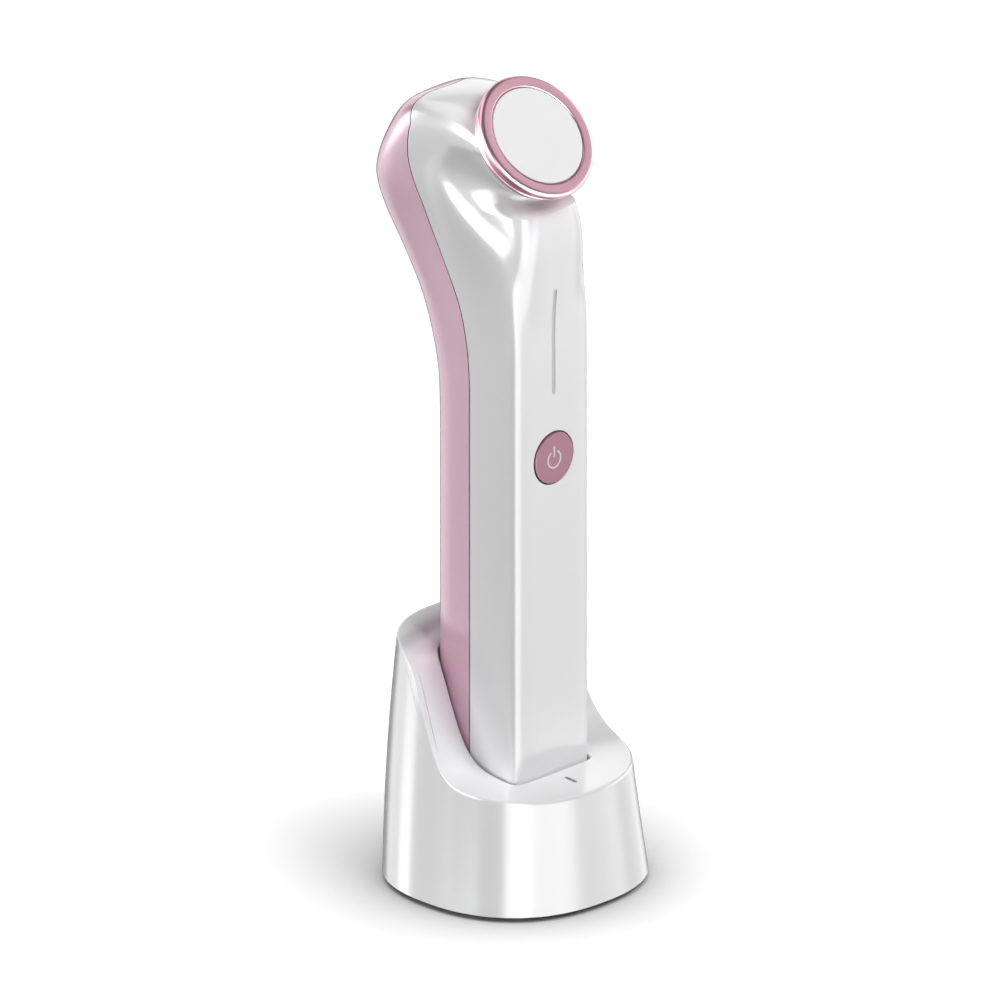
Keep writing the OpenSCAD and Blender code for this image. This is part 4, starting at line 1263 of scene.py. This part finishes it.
@dataclass
class TreatmentHead:
    """The rose metal ring and the white plate that it holds."""

    plate_r: float = 13.25
    plate_t: float = 2.0
    flange_t: float = 0.8
    flange_out: float = 0.85
    ring_r: float = 16.9
    ring_depth: float = 5.2
    fit: float = 0.1
    # How far inside ring_r, and the height, from the flat face over the lip to the collar behind it
    lip: tuple[tuple[float, float], ...] = (
        (1.3, 0.0), (0.6, -0.2), (0.2, -0.6), (0.0, -1.2), (0.0, -1.9), (0.5, -2.6), (1.0, -3.2),
        (1.1, -3.6), (0.9, -3.9), (0.9, -4.4),
    )
    # How far inside plate_r, and the height, over the plate's rounded edge
    rim: tuple[tuple[float, float], ...] = ((0.45, -0.02), (0.12, -0.15), (0.0, -0.5))

    def frame(self) -> Matrix:
        """The plate's own frame: its middle, with +Z out of its face."""
        return Matrix.Translation(HEAD_MIDDLE) @ Matrix.Rotation(math.radians(HEAD_TURN), 4, "X")

    def ring(self) -> BMesh:
        """The ring: a turned face, a rounded lip, a groove and a collar behind it.

        Returns:
            The ring, in its own frame.
        """
        r, bore = self.ring_r, self.plate_r + self.fit
        flange = self.plate_r + self.flange_out + self.fit
        step = -self.plate_t + self.flange_t + self.fit / 2
        bm = lathe([
            (bore, -0.55), (bore + 0.35, -0.12), *((r - inside, z) for inside, z in self.lip),
            (r - 1.4, -self.ring_depth), (flange, -self.ring_depth), (flange, step), (bore, step)], 160)
        soften(bm, 0.12, 20.0)
        return bm

    def plate(self) -> BMesh:
        """The plate: a flat face with a rounded edge, and the step that the ring holds.

        Returns:
            The plate, in its own frame.
        """
        r, flange, step = self.plate_r, self.plate_r + self.flange_out, -self.plate_t + self.flange_t
        bm = lathe([(0, 0), (r * 0.6, 0), *((r - inside, z) for inside, z in self.rim), (r, step),
                    (flange, step), (flange, -self.plate_t), (0, -self.plate_t)], 160, closed=False)
        soften(bm, 0.06, 40.0)
        return bm

    def build(self) -> list[Object]:
        """Make and dress the ring and the plate.

        Returns:
            The ring and the plate.
        """
        ring = even_shading(keep(self.ring(), "turned_ring", self.frame()))
        plate = even_shading(keep(self.plate(), "satin_plate", self.frame()))
        return [ride(ring, "handset", "rose_metal", ROSE_RING, "head_ring"),
                ride(plate, "handset", "white_satin", PLATE_SATIN, "treatment_plate")]


@dataclass
class PowerButton:
    """The round power button with its inlaid power sign."""

    z: float = 116.0
    front_y: float = -15.35
    radius: float = 6.8
    skirt_y: float = -12.5
    skirt_r: float = 7.8
    skirt_t: float = 0.8
    stem_r: float = 1.6
    stem_end: float = -10.4
    sign_r: float = 2.25
    sign_drop: float = 0.45
    stroke: float = 0.5
    sign_gap: float = 34.0
    sign_low: float = -0.3
    sign_high: float = -0.085
    end_drop: float = 0.002
    bar_low: float = 0.8
    bar_high: float = 3.35

    def frame(self) -> Matrix:
        """The button's frame: the middle of its face, with +Z out of the face."""
        return Matrix.Translation((0, self.front_y, self.z)) @ Matrix.Rotation(math.radians(90), 4, "X")

    def cap(self) -> BMesh:
        """The button: a dished face inside a polished rim, with the skirt and stem behind it.

        Returns:
            The button, in its own frame.
        """
        r, skirt, deep = self.radius, self.front_y - self.skirt_y, self.front_y - self.stem_end
        bm = lathe([
            (0, -0.12), (r * 0.5, -0.11), (r - 0.9, -0.07), (r - 0.7, -0.02), (r - 0.35, 0.0),
            (r - 0.12, -0.1), (r, -0.35), (r, skirt), (self.skirt_r, skirt),
            (self.skirt_r, skirt - self.skirt_t), (self.stem_r, skirt - self.skirt_t),
            (self.stem_r, deep), (0, deep)], 128, closed=False)
        soften(bm, 0.05, 50.0)
        return bm

    def sign(self) -> BMesh:
        """The power sign: a ring that is open at the top, and a short bar.

        Returns:
            The sign, in the frame of the face.
        """
        half, gap = self.stroke / 2, math.radians(self.sign_gap)
        low, high = self.sign_low, self.sign_high
        bm = bmesh.new()
        start = Matrix.Rotation(gap, 4, "Z")
        corners = [start @ Vector((0, self.sign_r + dx, z))
                   for dx, z in ((-half, low), (half, low), (half, high), (-half, high))]
        verts = [bm.verts.new(c) for c in corners]
        face = bm.faces.new(verts)
        bmesh.ops.spin(bm, geom=[face, *verts, *face.edges], cent=(0, 0, 0), axis=(0, 0, 1),
                       angle=math.tau - 2 * gap, steps=64)
        bmesh.ops.remove_doubles(bm, verts=bm.verts, dist=MERGE)
        bmesh.ops.recalc_face_normals(bm, faces=bm.faces)
        arc_ends = [Matrix.Rotation(side * gap, 4, "Z") @ Vector((0, self.sign_r, 0)) for side in (-1, 1)]
        bar = block((self.stroke, self.bar_high - self.bar_low, high - low),
                    (0, (self.bar_low + self.bar_high) / 2, (low + high) / 2))
        bar_ends = [Vector((0, y, 0)) for y in (self.bar_low, self.bar_high)]

        def round_end(spot: Vector) -> BMesh:
            """The round end of a stroke."""
            return moved(rod(half, low, high - self.end_drop), Matrix.Translation(spot))

        return joined([bm, *map(round_end, arc_ends), bar, *map(round_end, bar_ends)])

    def build(self) -> list[Object]:
        """Make and dress the button and its sign.

        Returns:
            The button and its sign.
        """
        cap = even_shading(keep(self.cap(), "button_cap", self.frame()))
        lowered = self.frame() @ Matrix.Translation((0, -self.sign_drop, 0))
        sign = even_shading(keep(self.sign(), "power_sign", lowered))
        return [ride(cap, "button", "rose_metal", ROSE_BUTTON, "power_button"),
                ride(sign, "button", "rose_metal", ICON_PAINT)]


# --- The dock -------------------------------------------------------------------------------
@dataclass
class DockForm:
    """The dock's outer surface: its leaning wall, scooped top and well."""

    form: HandsetForm
    width: float = 64.4
    front: float = 33.3
    back: float = 30.0
    low: float = 1.4
    lip_h: float = 30.4
    back_rise: float = 30.5
    well_floor: float = 15.9
    well_gap: float = 0.5
    side_lean: float = 0.125
    front_lean: float = 0.12
    back_bow: float = 0.06
    lean_ease: float = 0.0004
    back_ease: float = 0.0014
    fullness: float = 2.3
    scoop_at: float = 8.7
    scoop_soft: float = 3.3
    scoop_slope: float = 0.06
    scoop_dish: float = 0.007
    lip_start: float = -30.0
    rim_guess: float = 40.0

    def spans(self, z: float) -> Place:
        """Half the width, the reach to the front and the reach to the back, at height z.

        Args:
            z: height.

        Returns:
            The three lengths.
        """
        return (self.width / 2 - self.side_lean * z + self.lean_ease * z * z,
                self.front - self.front_lean * z,
                self.back + self.back_bow * z - self.back_ease * z * z)

    def outline(self, angle: float, z: float) -> tuple[float, float]:
        """A place on the wall's outline at height z.

        Args:
            angle: angle round it, 0 to the front, in degrees.
            z: height.

        Returns:
            The place in plan.
        """
        a, fore, aft = self.spans(z)
        s, c, p = math.sin(math.radians(angle)), math.cos(math.radians(angle)), 2 / self.fullness
        x = a * math.copysign(abs(s) ** p, s)
        return x, (aft - fore) / 2 - (aft + fore) / 2 * math.copysign(abs(c) ** p, c)

    def wall_y(self, x: float, z: float) -> float:
        """Depth of the back wall at a place.

        Args:
            x: distance to the side.
            z: height.

        Returns:
            The depth.
        """
        a, fore, aft = self.spans(z)
        n = self.fullness
        return (aft - fore) / 2 + (aft + fore) / 2 * (1 - min(abs(x / a), 1.0) ** n) ** (1 / n)

    def scoop(self, x: float, y: float) -> float:
        """Height of the scooped top over a place of the plan.

        Args:
            x: distance to the side.
            y: depth.

        Returns:
            The height.
        """
        t = y + self.scoop_dish * x * x
        rise = self.back_rise / (1 + math.exp(-(t - self.scoop_at) / self.scoop_soft))
        return self.lip_h + self.scoop_slope * (t - self.lip_start) + rise

    def rim(self, angle: float) -> float:
        """Height at which the wall meets the scooped top.

        Args:
            angle: angle round it, 0 to the front, in degrees.

        Returns:
            The height.
        """
        z = self.rim_guess
        for _ in range(RIM_STEPS):
            z = (z + self.scoop(*self.outline(angle, z))) / 2
        return z

    def well(self, angle: float, gap: float) -> tuple[float, float]:
        """A place on the well's outline.

        Args:
            angle: angle round it, 0 to the front, in degrees.
            gap: room round the handset.

        Returns:
            The place in plan.
        """
        q = self.form.section(-100, -gap)
        r, a = q.radius(angle), math.radians(angle)
        return r * math.sin(a), self.form.pivot_y + q.widest - r * math.cos(a)


@dataclass
class Dock:
    """The dock's moulded shell with its scooped top, well and openings."""

    form: DockForm
    wall: float = 2.2
    columns: int = 200
    edge: float = 0.35
    rim_round: float = 0.7
    well_round: float = 0.4
    pipe_y: float = -21.1
    pipe_half: tuple[float, float] = (0.55, 2.05)
    socket_z: float = 11.65
    socket_half: tuple[float, float] = (4.7, 1.8)
    pin_x: float = 5.0
    pin_hole: float = 1.05
    below_rim: float = 1.6
    wall_rows: int = 30
    scoop_rows: int = 24
    well_rows: int = 6
    slot_columns: int = 2
    slot_reach: float = 3.2
    slot_skin: float = 0.5
    socket_columns: int = 6
    socket_reach: float = 3.4
    back_from: float = 20.0
    hole_edge: float = 0.6
    slot_edge_share: float = 0.2

    def columns_at(self) -> list[float]:
        """Angles of the columns from the back round to the back, evenly spaced along the wall.

        Returns:
            The angles, in degrees.
        """
        turn = spread(-180.0, 180.0, 2880)
        line = [(*self.form.outline(a, self.form.lip_h), 0.0) for a in turn]
        total = [0.0]
        for p, q in zip(line, line[1:]):
            total.append(total[-1] + math.dist(p, q))
        angles, k = [], 0
        for mark in spread(0.0, total[-1], self.columns):
            while k < len(total) - 2 and total[k + 1] < mark:
                k += 1
            angles.append(mix(turn[k], turn[k + 1], (mark - total[k]) / (total[k + 1] - total[k])))
        return angles

    def rows(self) -> list[list[Place]]:
        """Rings up the wall, down the scoop and into the well.

        Returns:
            The rings, each a list of places.
        """
        f, angles = self.form, self.columns_at()
        rims = [f.rim(a) for a in angles]
        out = []
        for u in [0.0, 0.02, *spread(0.07, 0.9, self.wall_rows), 0.96]:
            ring = []
            for a, rim in zip(angles, rims):
                z = mix(f.low, rim - self.below_rim, u)
                ring.append((*f.outline(a, z), z))
            out.append(ring)
        out += self.rounded(self.rim_round, [self.down_wall(a, rim) for a, rim in zip(angles, rims)],
                            [self.over_scoop(a, rim, 0.0) for a, rim in zip(angles, rims)])
        for u in [0.17, *spread(0.21, 0.86, self.scoop_rows), 0.9]:
            out.append([self.over_scoop(a, rim, u)(0.0) for a, rim in zip(angles, rims)])
        out += self.rounded(self.well_round, [self.back_over_scoop(a, rim) for a, rim in zip(angles, rims)],
                            [self.down_well(a, rim) for a, rim in zip(angles, rims)])
        tops = [self.over_scoop(a, rim, 1.0)(0.0)[2] for a, rim in zip(angles, rims)]
        for u in [*spread(0.1, 0.86, self.well_rows), 0.95, 1.0]:
            out.append([(*f.well(a, f.well_gap), mix(top, f.well_floor, u)) for a, top in zip(angles, tops)])
        return out

    def down_wall(self, angle: float, rim: float) -> Callable[[float], Place]:
        """Places down the wall from the rim, by how far down they are."""
        return lambda d: (*self.form.outline(angle, rim - d), rim - d)

    def over_scoop(self, angle: float, rim: float, share: float) -> Callable[[float], Place]:
        """Places over the scooped top, a share of the way from rim to well and on by a length.

        Args:
            angle: angle round it, 0 to the front, in degrees.
            rim: height of the rim there.
            share: share of the way from rim to well.

        Returns:
            A function of the further length.
        """
        start, end = Vector(self.form.outline(angle, rim)), Vector(self.form.well(angle, self.form.well_gap))

        def spot(d: float) -> Place:
            """The place that is a length further in."""
            at = start.lerp(end, share) + (end - start).normalized() * d
            return (at.x, at.y, self.form.scoop(at.x, at.y))
        return spot

    def back_over_scoop(self, angle: float, rim: float) -> Callable[[float], Place]:
        """Places over the scooped top, by how far they are from the well's edge."""
        spot = self.over_scoop(angle, rim, 1.0)
        return lambda d: spot(-d)

    def down_well(self, angle: float, rim: float) -> Callable[[float], Place]:
        """Places down the well, by how far they are below its edge."""
        x, y, top = self.over_scoop(angle, rim, 1.0)(0.0)
        return lambda d: (x, y, top - d)

    @staticmethod
    def rounded(radius: float, before: Sequence[Callable[[float], Place]],
                after: Sequence[Callable[[float], Place]], steps: int = 6) -> list[list[Place]]:
        """Rings over a rounded edge between two surfaces.

        Args:
            radius: how far the rounding reaches on either surface.
            before: places on the first surface, by their distance from the edge.
            after: places on the second surface, by their distance from the edge.
            steps: parts across the rounding.

        Returns:
            The rings, with one more on either side that keeps the surfaces flat.
        """
        hold = radius * 1.6
        rings = [[spot(hold) for spot in before]]
        for u in spread(0.0, 1.0, steps):
            ring = []
            for first, second in zip(before, after):
                a, corner, b = Vector(first(radius)), Vector(first(0.0)), Vector(second(radius))
                ring.append(tuple(a.lerp(corner, u).lerp(corner.lerp(b, u), u)))
            rings.append(ring)
        rings.append([spot(hold) for spot in after])
        return rings

    def slot_edge(self, spot: Vector) -> Vector:
        """The place on the light pipe slot's edge that is nearest to a place.

        Args:
            spot: a place on the window's edge.

        Returns:
            The place on the opening's edge.
        """
        half, reach = self.pipe_half
        y, x = on_slot(spot.y, spot.x, self.pipe_y - reach, self.pipe_y + reach, half)
        return Vector((x, y, spot.z))

    def on_scoop(self, spot: Vector) -> Vector:
        """A place put on the scooped top."""
        return Vector((spot.x, spot.y, self.form.scoop(spot.x, spot.y)))

    def socket_edge(self, spot: Vector) -> Vector:
        """The place on the socket opening's edge that is nearest to a place.

        Args:
            spot: a place on the window's edge.

        Returns:
            The place on the opening's edge.
        """
        reach, half = self.socket_half
        x, z = on_slot(spot.x, spot.z - self.socket_z, -reach, reach, half)
        return Vector((x, spot.y, self.socket_z + z))

    def on_back(self, spot: Vector) -> Vector:
        """A place put on the back wall."""
        return Vector((spot.x, self.form.wall_y(spot.x, spot.z), spot.z))

    def shell(self) -> BMesh:
        """The shell's outer sheet with all its openings.

        Returns:
            The sheet, in millimetres.
        """
        f = self.form
        rows = self.rows()
        bm = grid(rows)
        floor = [e for e in bm.edges if e.is_boundary
                 and all(abs(v.co.z - f.well_floor) < 1e-3 for v in e.verts)]
        holes = []
        for x in (-self.pin_x, self.pin_x):
            made = bmesh.ops.create_circle(bm, cap_ends=False, segments=32, radius=self.pin_hole,
                                           matrix=Matrix.Translation((x, 0, f.well_floor)))
            holes += [e for v in made["verts"] for e in v.link_edges]
        holes = list(dict.fromkeys(holes))
        bmesh.ops.triangle_fill(bm, use_beauty=True, use_dissolve=False, edges=floor + holes)
        bmesh.ops.recalc_face_normals(bm, faces=bm.faces)
        outward = sum(face.normal.z for face in bm.faces if face.calc_center_median().z > f.well_floor - 0.01)
        if outward < 0:
            bmesh.ops.reverse_faces(bm, faces=bm.faces)
        middle = self.columns // 2
        slot = open_window(
            bm, (middle - self.slot_columns, middle + self.slot_columns),
            lambda c: (abs(c.y - self.pipe_y) < self.slot_reach and c.y < 0
                       and c.z > f.scoop(c.x, c.y) - self.slot_skin),
            self.slot_edge, self.on_scoop, 2)
        tag = bm.verts.layers.int["column"]
        for vert in bm.verts:
            if vert[tag] > middle and vert.co.y > self.back_from:
                vert[tag] -= self.columns
        socket = open_window(
            bm, (-self.socket_columns, self.socket_columns),
            lambda c: c.y > self.back_from and abs(c.z - self.socket_z) < self.socket_reach,
            self.socket_edge, self.on_back)
        weigh(bm, floor, 1.0)
        weigh(bm, [e for e in bm.edges if e.is_boundary], self.hole_edge)
        weigh(bm, slot, self.slot_edge_share)
        weigh(bm, socket, self.hole_edge)
        return bm

    def build(self) -> list[Object]:
        """Make and dress the shell."""
        shell = walled(keep(self.shell(), "dock_skin"), self.wall, self.edge)
        return [ride(shell, "dock", "white_gloss", DOCK_GLOSS, "dock_shell")]


# --- Studio ---------------------------------------------------------------------------------
@dataclass
class Softbox:
    """One rectangular lamp that faces the object."""

    name: str
    azimuth: float
    elevation: float
    power: float
    distance: float = 1.1
    side: float = 0.5
    aim: float = 0.11

    def build(self) -> Object:
        """Place the lamp and turn it to the object.

        Returns:
            The lamp.
        """
        lamp = bpy.data.lights.new(self.name, "AREA")
        lamp.shape = "RECTANGLE"
        lamp.size = lamp.size_y = self.side
        lamp.energy = self.power
        obj = bpy.data.objects.new(self.name, lamp)
        away = toward(self.azimuth, self.elevation)
        obj.location = Vector((0, 0, self.aim)) + away * self.distance
        obj.rotation_euler = away.to_track_quat("Z", "Y").to_euler()
        obj.visible_camera = False
        obj.visible_glossy = False
        bpy.context.scene.collection.objects.link(obj)
        return obj


@dataclass(frozen=True)
class Panel:
    """A bright panel of the studio, which glossy surfaces reflect."""

    azimuth: float
    half_width: float
    low: float
    high: float
    brightness: float
    soft: float


@dataclass
class Studio:
    """Floor, lamps, world and camera."""

    azimuth: float = -45.3
    elevation: float = 22.0
    frame_width: float = 0.250
    paper: float = 0.12
    paper_seen: float = 0.25
    paper_glow: float = 1.06
    shade_reach: float = 0.06
    floor_half: float = 6000.0
    distance: float = 3.0
    clip_end: float = 50.0
    right: float = -0.00274
    up: float = 0.09299
    forward: float = 0.0377
    ambient: float = 0.06
    gloss_base: float = 0.2
    panels: tuple[Panel, ...] = (
        Panel(-168.0, 20.0, -60.0, 6.0, 1.7, 12.0),
        Panel(-153.0, 8.0, -16.0, 16.0, 6.0, 4.0),
        Panel(-155.0, 35.0, 30.0, 72.0, 2.2, 8.0),
        Panel(-130.0, 20.0, -24.0, 6.0, 1.8, 6.0),
        Panel(-78.0, 30.0, -30.0, 4.0, 1.2, 20.0),
        Panel(-106.0, 20.0, -4.0, 34.0, 13.0, 5.0),
        Panel(-42.0, 14.0, -24.0, 24.0, 7.0, 6.0),
        Panel(-8.0, 26.0, -60.0, 2.0, 6.5, 20.0),
        Panel(36.0, 24.0, -60.0, 0.0, 3.0, 16.0),
        Panel(82.0, 30.0, -60.0, -2.0, 1.4, 16.0),
        Panel(76.0, 24.0, -2.0, 17.0, 5.0, 5.0),
        Panel(68.0, 30.0, 17.0, 50.0, 1.0, 10.0),
        Panel(150.0, 28.0, -3.0, 33.0, 1.5, 6.0),
    )
    lamps: tuple[Softbox, ...] = (
        Softbox("key_lamp", 8.0, 50.0, 8.0),
        Softbox("right_lamp", 28.0, 32.0, 1.5),
        Softbox("side_lamp", -98.0, 0.0, 6.5),
        Softbox("top_lamp", -70.0, 60.0, 2.0),
    )

    def floor(self) -> Object:
        """A wide white floor that keeps the object's shadow.

        Returns:
            The floor.
        """
        bm = bmesh.new()
        bmesh.ops.create_grid(bm, x_segments=8, y_segments=8, size=self.floor_half)
        floor = keep(bm, "studio_floor")
        made = bpy.data.materials.new("floor_paper")
        made.use_nodes = True
        tree = Tree(made.node_tree)
        rays = tree.add("ShaderNodeLightPath")
        seen = tree.math("MAXIMUM", rays.outputs["Is Camera Ray"], rays.outputs["Is Transmission Ray"])
        paper = tree.add("ShaderNodeBsdfDiffuse", Color=tree.blend(
            seen, rgba((self.paper,) * 3), rgba((self.paper_seen,) * 3)))
        glow = tree.add("ShaderNodeEmission", Color=(1.0, 1.0, 1.0, 1.0))
        # Ambient occlusion dims the floor's glow round and under the object: a painted contact shadow.
        open_sky = tree.add("ShaderNodeAmbientOcclusion", Distance=self.shade_reach).outputs["AO"]
        lit = tree.math("MULTIPLY", tree.math("MULTIPLY", open_sky, open_sky), self.paper_glow)
        tree.put(glow.inputs["Strength"], tree.math("MULTIPLY", seen, lit))
        both = tree.add("ShaderNodeAddShader")
        tree.put(both.inputs[0], paper.outputs[0])
        tree.put(both.inputs[1], glow.outputs[0])
        clear = tree.add("ShaderNodeBsdfTransparent")
        choice = tree.add("ShaderNodeMixShader")
        tree.put(choice.inputs[0], rays.outputs["Is Glossy Ray"])
        tree.put(choice.inputs[1], both.outputs[0])
        tree.put(choice.inputs[2], clear.outputs[0])
        tree.add("ShaderNodeOutputMaterial", Surface=choice.outputs[0])
        floor.data.materials.append(made)
        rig.stage(floor)
        return floor

    def world(self) -> None:
        """Soft light from all round, with white behind the object."""
        world = bpy.data.worlds.new("studio")
        bpy.context.scene.world = world
        world.use_nodes = True
        tree = Tree(world.node_tree)
        rays = tree.add("ShaderNodeLightPath")
        seen = tree.math("MAXIMUM", rays.outputs["Is Camera Ray"], rays.outputs["Is Transmission Ray"])
        direction = tree.add("ShaderNodeTexCoord").outputs["Generated"]
        gloss: object = self.gloss_base
        for panel in self.panels:
            gloss = tree.math("ADD", gloss, self.panel_light(tree, direction, panel))
        plain = tree.math("ADD", tree.math("MULTIPLY", seen, 1.0 - self.ambient), self.ambient)
        mirror = rays.outputs["Is Glossy Ray"]
        strength = tree.math("ADD", tree.math("MULTIPLY", gloss, mirror),
                             tree.math("MULTIPLY", plain, tree.math("SUBTRACT", 1.0, mirror)))
        sky = tree.add("ShaderNodeBackground", Color=(1.0, 1.0, 1.0, 1.0), Strength=strength)
        tree.add("ShaderNodeOutputWorld", Surface=sky.outputs[0])

    @staticmethod
    def panel_light(tree: Tree, direction: bpy.types.NodeSocket, panel: Panel) -> bpy.types.NodeSocket:
        """Brightness of one panel in a direction.

        Args:
            tree: the world's nodes.
            direction: the direction that is looked in.
            panel: the panel.

        Returns:
            The brightness that the panel adds.
        """
        turn = tree.add("ShaderNodeMapping", Vector=direction,
                        Rotation=(0.0, 0.0, math.radians(90.0 - panel.azimuth)))
        parts = tree.add("ShaderNodeSeparateXYZ", Vector=turn.outputs[0])
        aside = tree.math("ABSOLUTE", tree.math("ARCTAN2", parts.outputs["Y"], parts.outputs["X"]))
        height = tree.math("ARCSINE", parts.outputs["Z"])
        soft = math.radians(panel.soft)

        def window(value: bpy.types.NodeSocket, edge: float, sign: float) -> bpy.types.NodeSocket:
            """1 on the inner side of an edge and 0 beyond it, softly."""
            away = tree.math("MULTIPLY", tree.math("SUBTRACT", math.radians(edge), value), sign / soft)
            return tree.math("ADD", away, 0.5, clamp=True)

        level = tree.math("MULTIPLY", window(height, panel.high, 1.0), window(height, panel.low, -1.0))
        mask = tree.math("MULTIPLY", window(aside, panel.half_width, 1.0), level)
        return tree.math("MULTIPLY", mask, panel.brightness)

    def camera(self) -> Object:
        """The camera at the object's usual angle, from far away.

        Returns:
            The camera.
        """
        back = toward(self.azimuth, self.elevation)
        a = math.radians(self.azimuth)
        right = Vector((math.cos(a), math.sin(a), 0))
        up = back.cross(right)
        lens = bpy.data.cameras.new("camera")
        lens.type = "ORTHO"
        lens.ortho_scale = self.frame_width
        lens.clip_end = self.clip_end
        camera = bpy.data.objects.new("camera", lens)
        aim = right * self.right + up * self.up + back * self.forward
        camera.location = aim + back * self.distance
        camera.rotation_euler = Matrix((right, up, back)).transposed().to_euler()
        bpy.context.scene.collection.objects.link(camera)
        bpy.context.scene.camera = camera
        return camera

    def build(self) -> None:
        """Set up the whole studio."""
        self.floor()
        self.world()
        for lamp in self.lamps:
            lamp.build()
        self.camera()
        bpy.context.scene.view_settings.view_transform = "Standard"


def dress_carried(nodes: dict[str, Object]) -> None:
    """Put a finish on every node of the part that is shown as it is.

    Args:
        nodes: the part's nodes by name.
    """
    for name, finish in CARRIED_FINISH.items():
        node = nodes[name]
        if node.hide_render:
            continue
        if not node.data.materials:
            node.data.materials.append(finish.material())
        for i in range(len(node.material_slots)):
            node.material_slots[i].material = finish.material()
        LOG.info("%s wears %s", name, finish.name)


@dataclass(frozen=True)
class Spring:
    """A soft piece that gives way under a joint: where it stands, and what it keeps of its length."""

    node: str
    joint: str
    axis: Place
    foot: Place
    kept: float

    def follow(self, nodes: dict[str, Object]) -> None:
        """Let the piece flatten towards its foot as the joint moves.

        Args:
            nodes: the part's nodes by name.
        """
        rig.squash(nodes[self.node], self.joint, axis=self.axis,
                  anchor=tuple(c * MM for c in self.foot), keep=self.kept)
        LOG.info("%s gives way under %s", self.node, self.joint)


# Each foot is where the piece is held, in millimetres.
SPRINGS = (
    Spring("button_pad", "button_press", (0.0, 1.0, 0.0), (0.0, -8.1, 116.0), 0.88),
    Spring("pin_spring_left", "pin_left_press", (0.0, 0.0, 1.0), (-5.0, 0.0, 10.75), 0.42),
    Spring("pin_spring_right", "pin_right_press", (0.0, 0.0, 1.0), (5.0, 0.0, 10.75), 0.42),
)


def main() -> None:
    """Build every sub-assembly in order, then the studio."""
    logging.basicConfig(level=logging.INFO, format="%(name)s: %(message)s")
    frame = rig.load()
    cad_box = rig.bounds()
    form = HandsetForm()
    Casings(form).build()
    TreatmentHead().build()
    PowerButton().build()
    Dock(DockForm(form)).build()
    dress_carried(frame["nodes"])
    for spring in SPRINGS:
        spring.follow(frame["nodes"])
    Studio().build()
    with open(SIZE_FILE, "w") as out:
        json.dump({"cad": [list(c) for c in cad_box], "visual": [list(c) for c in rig.bounds()]}, out)


if __name__ == "__main__":
    main()
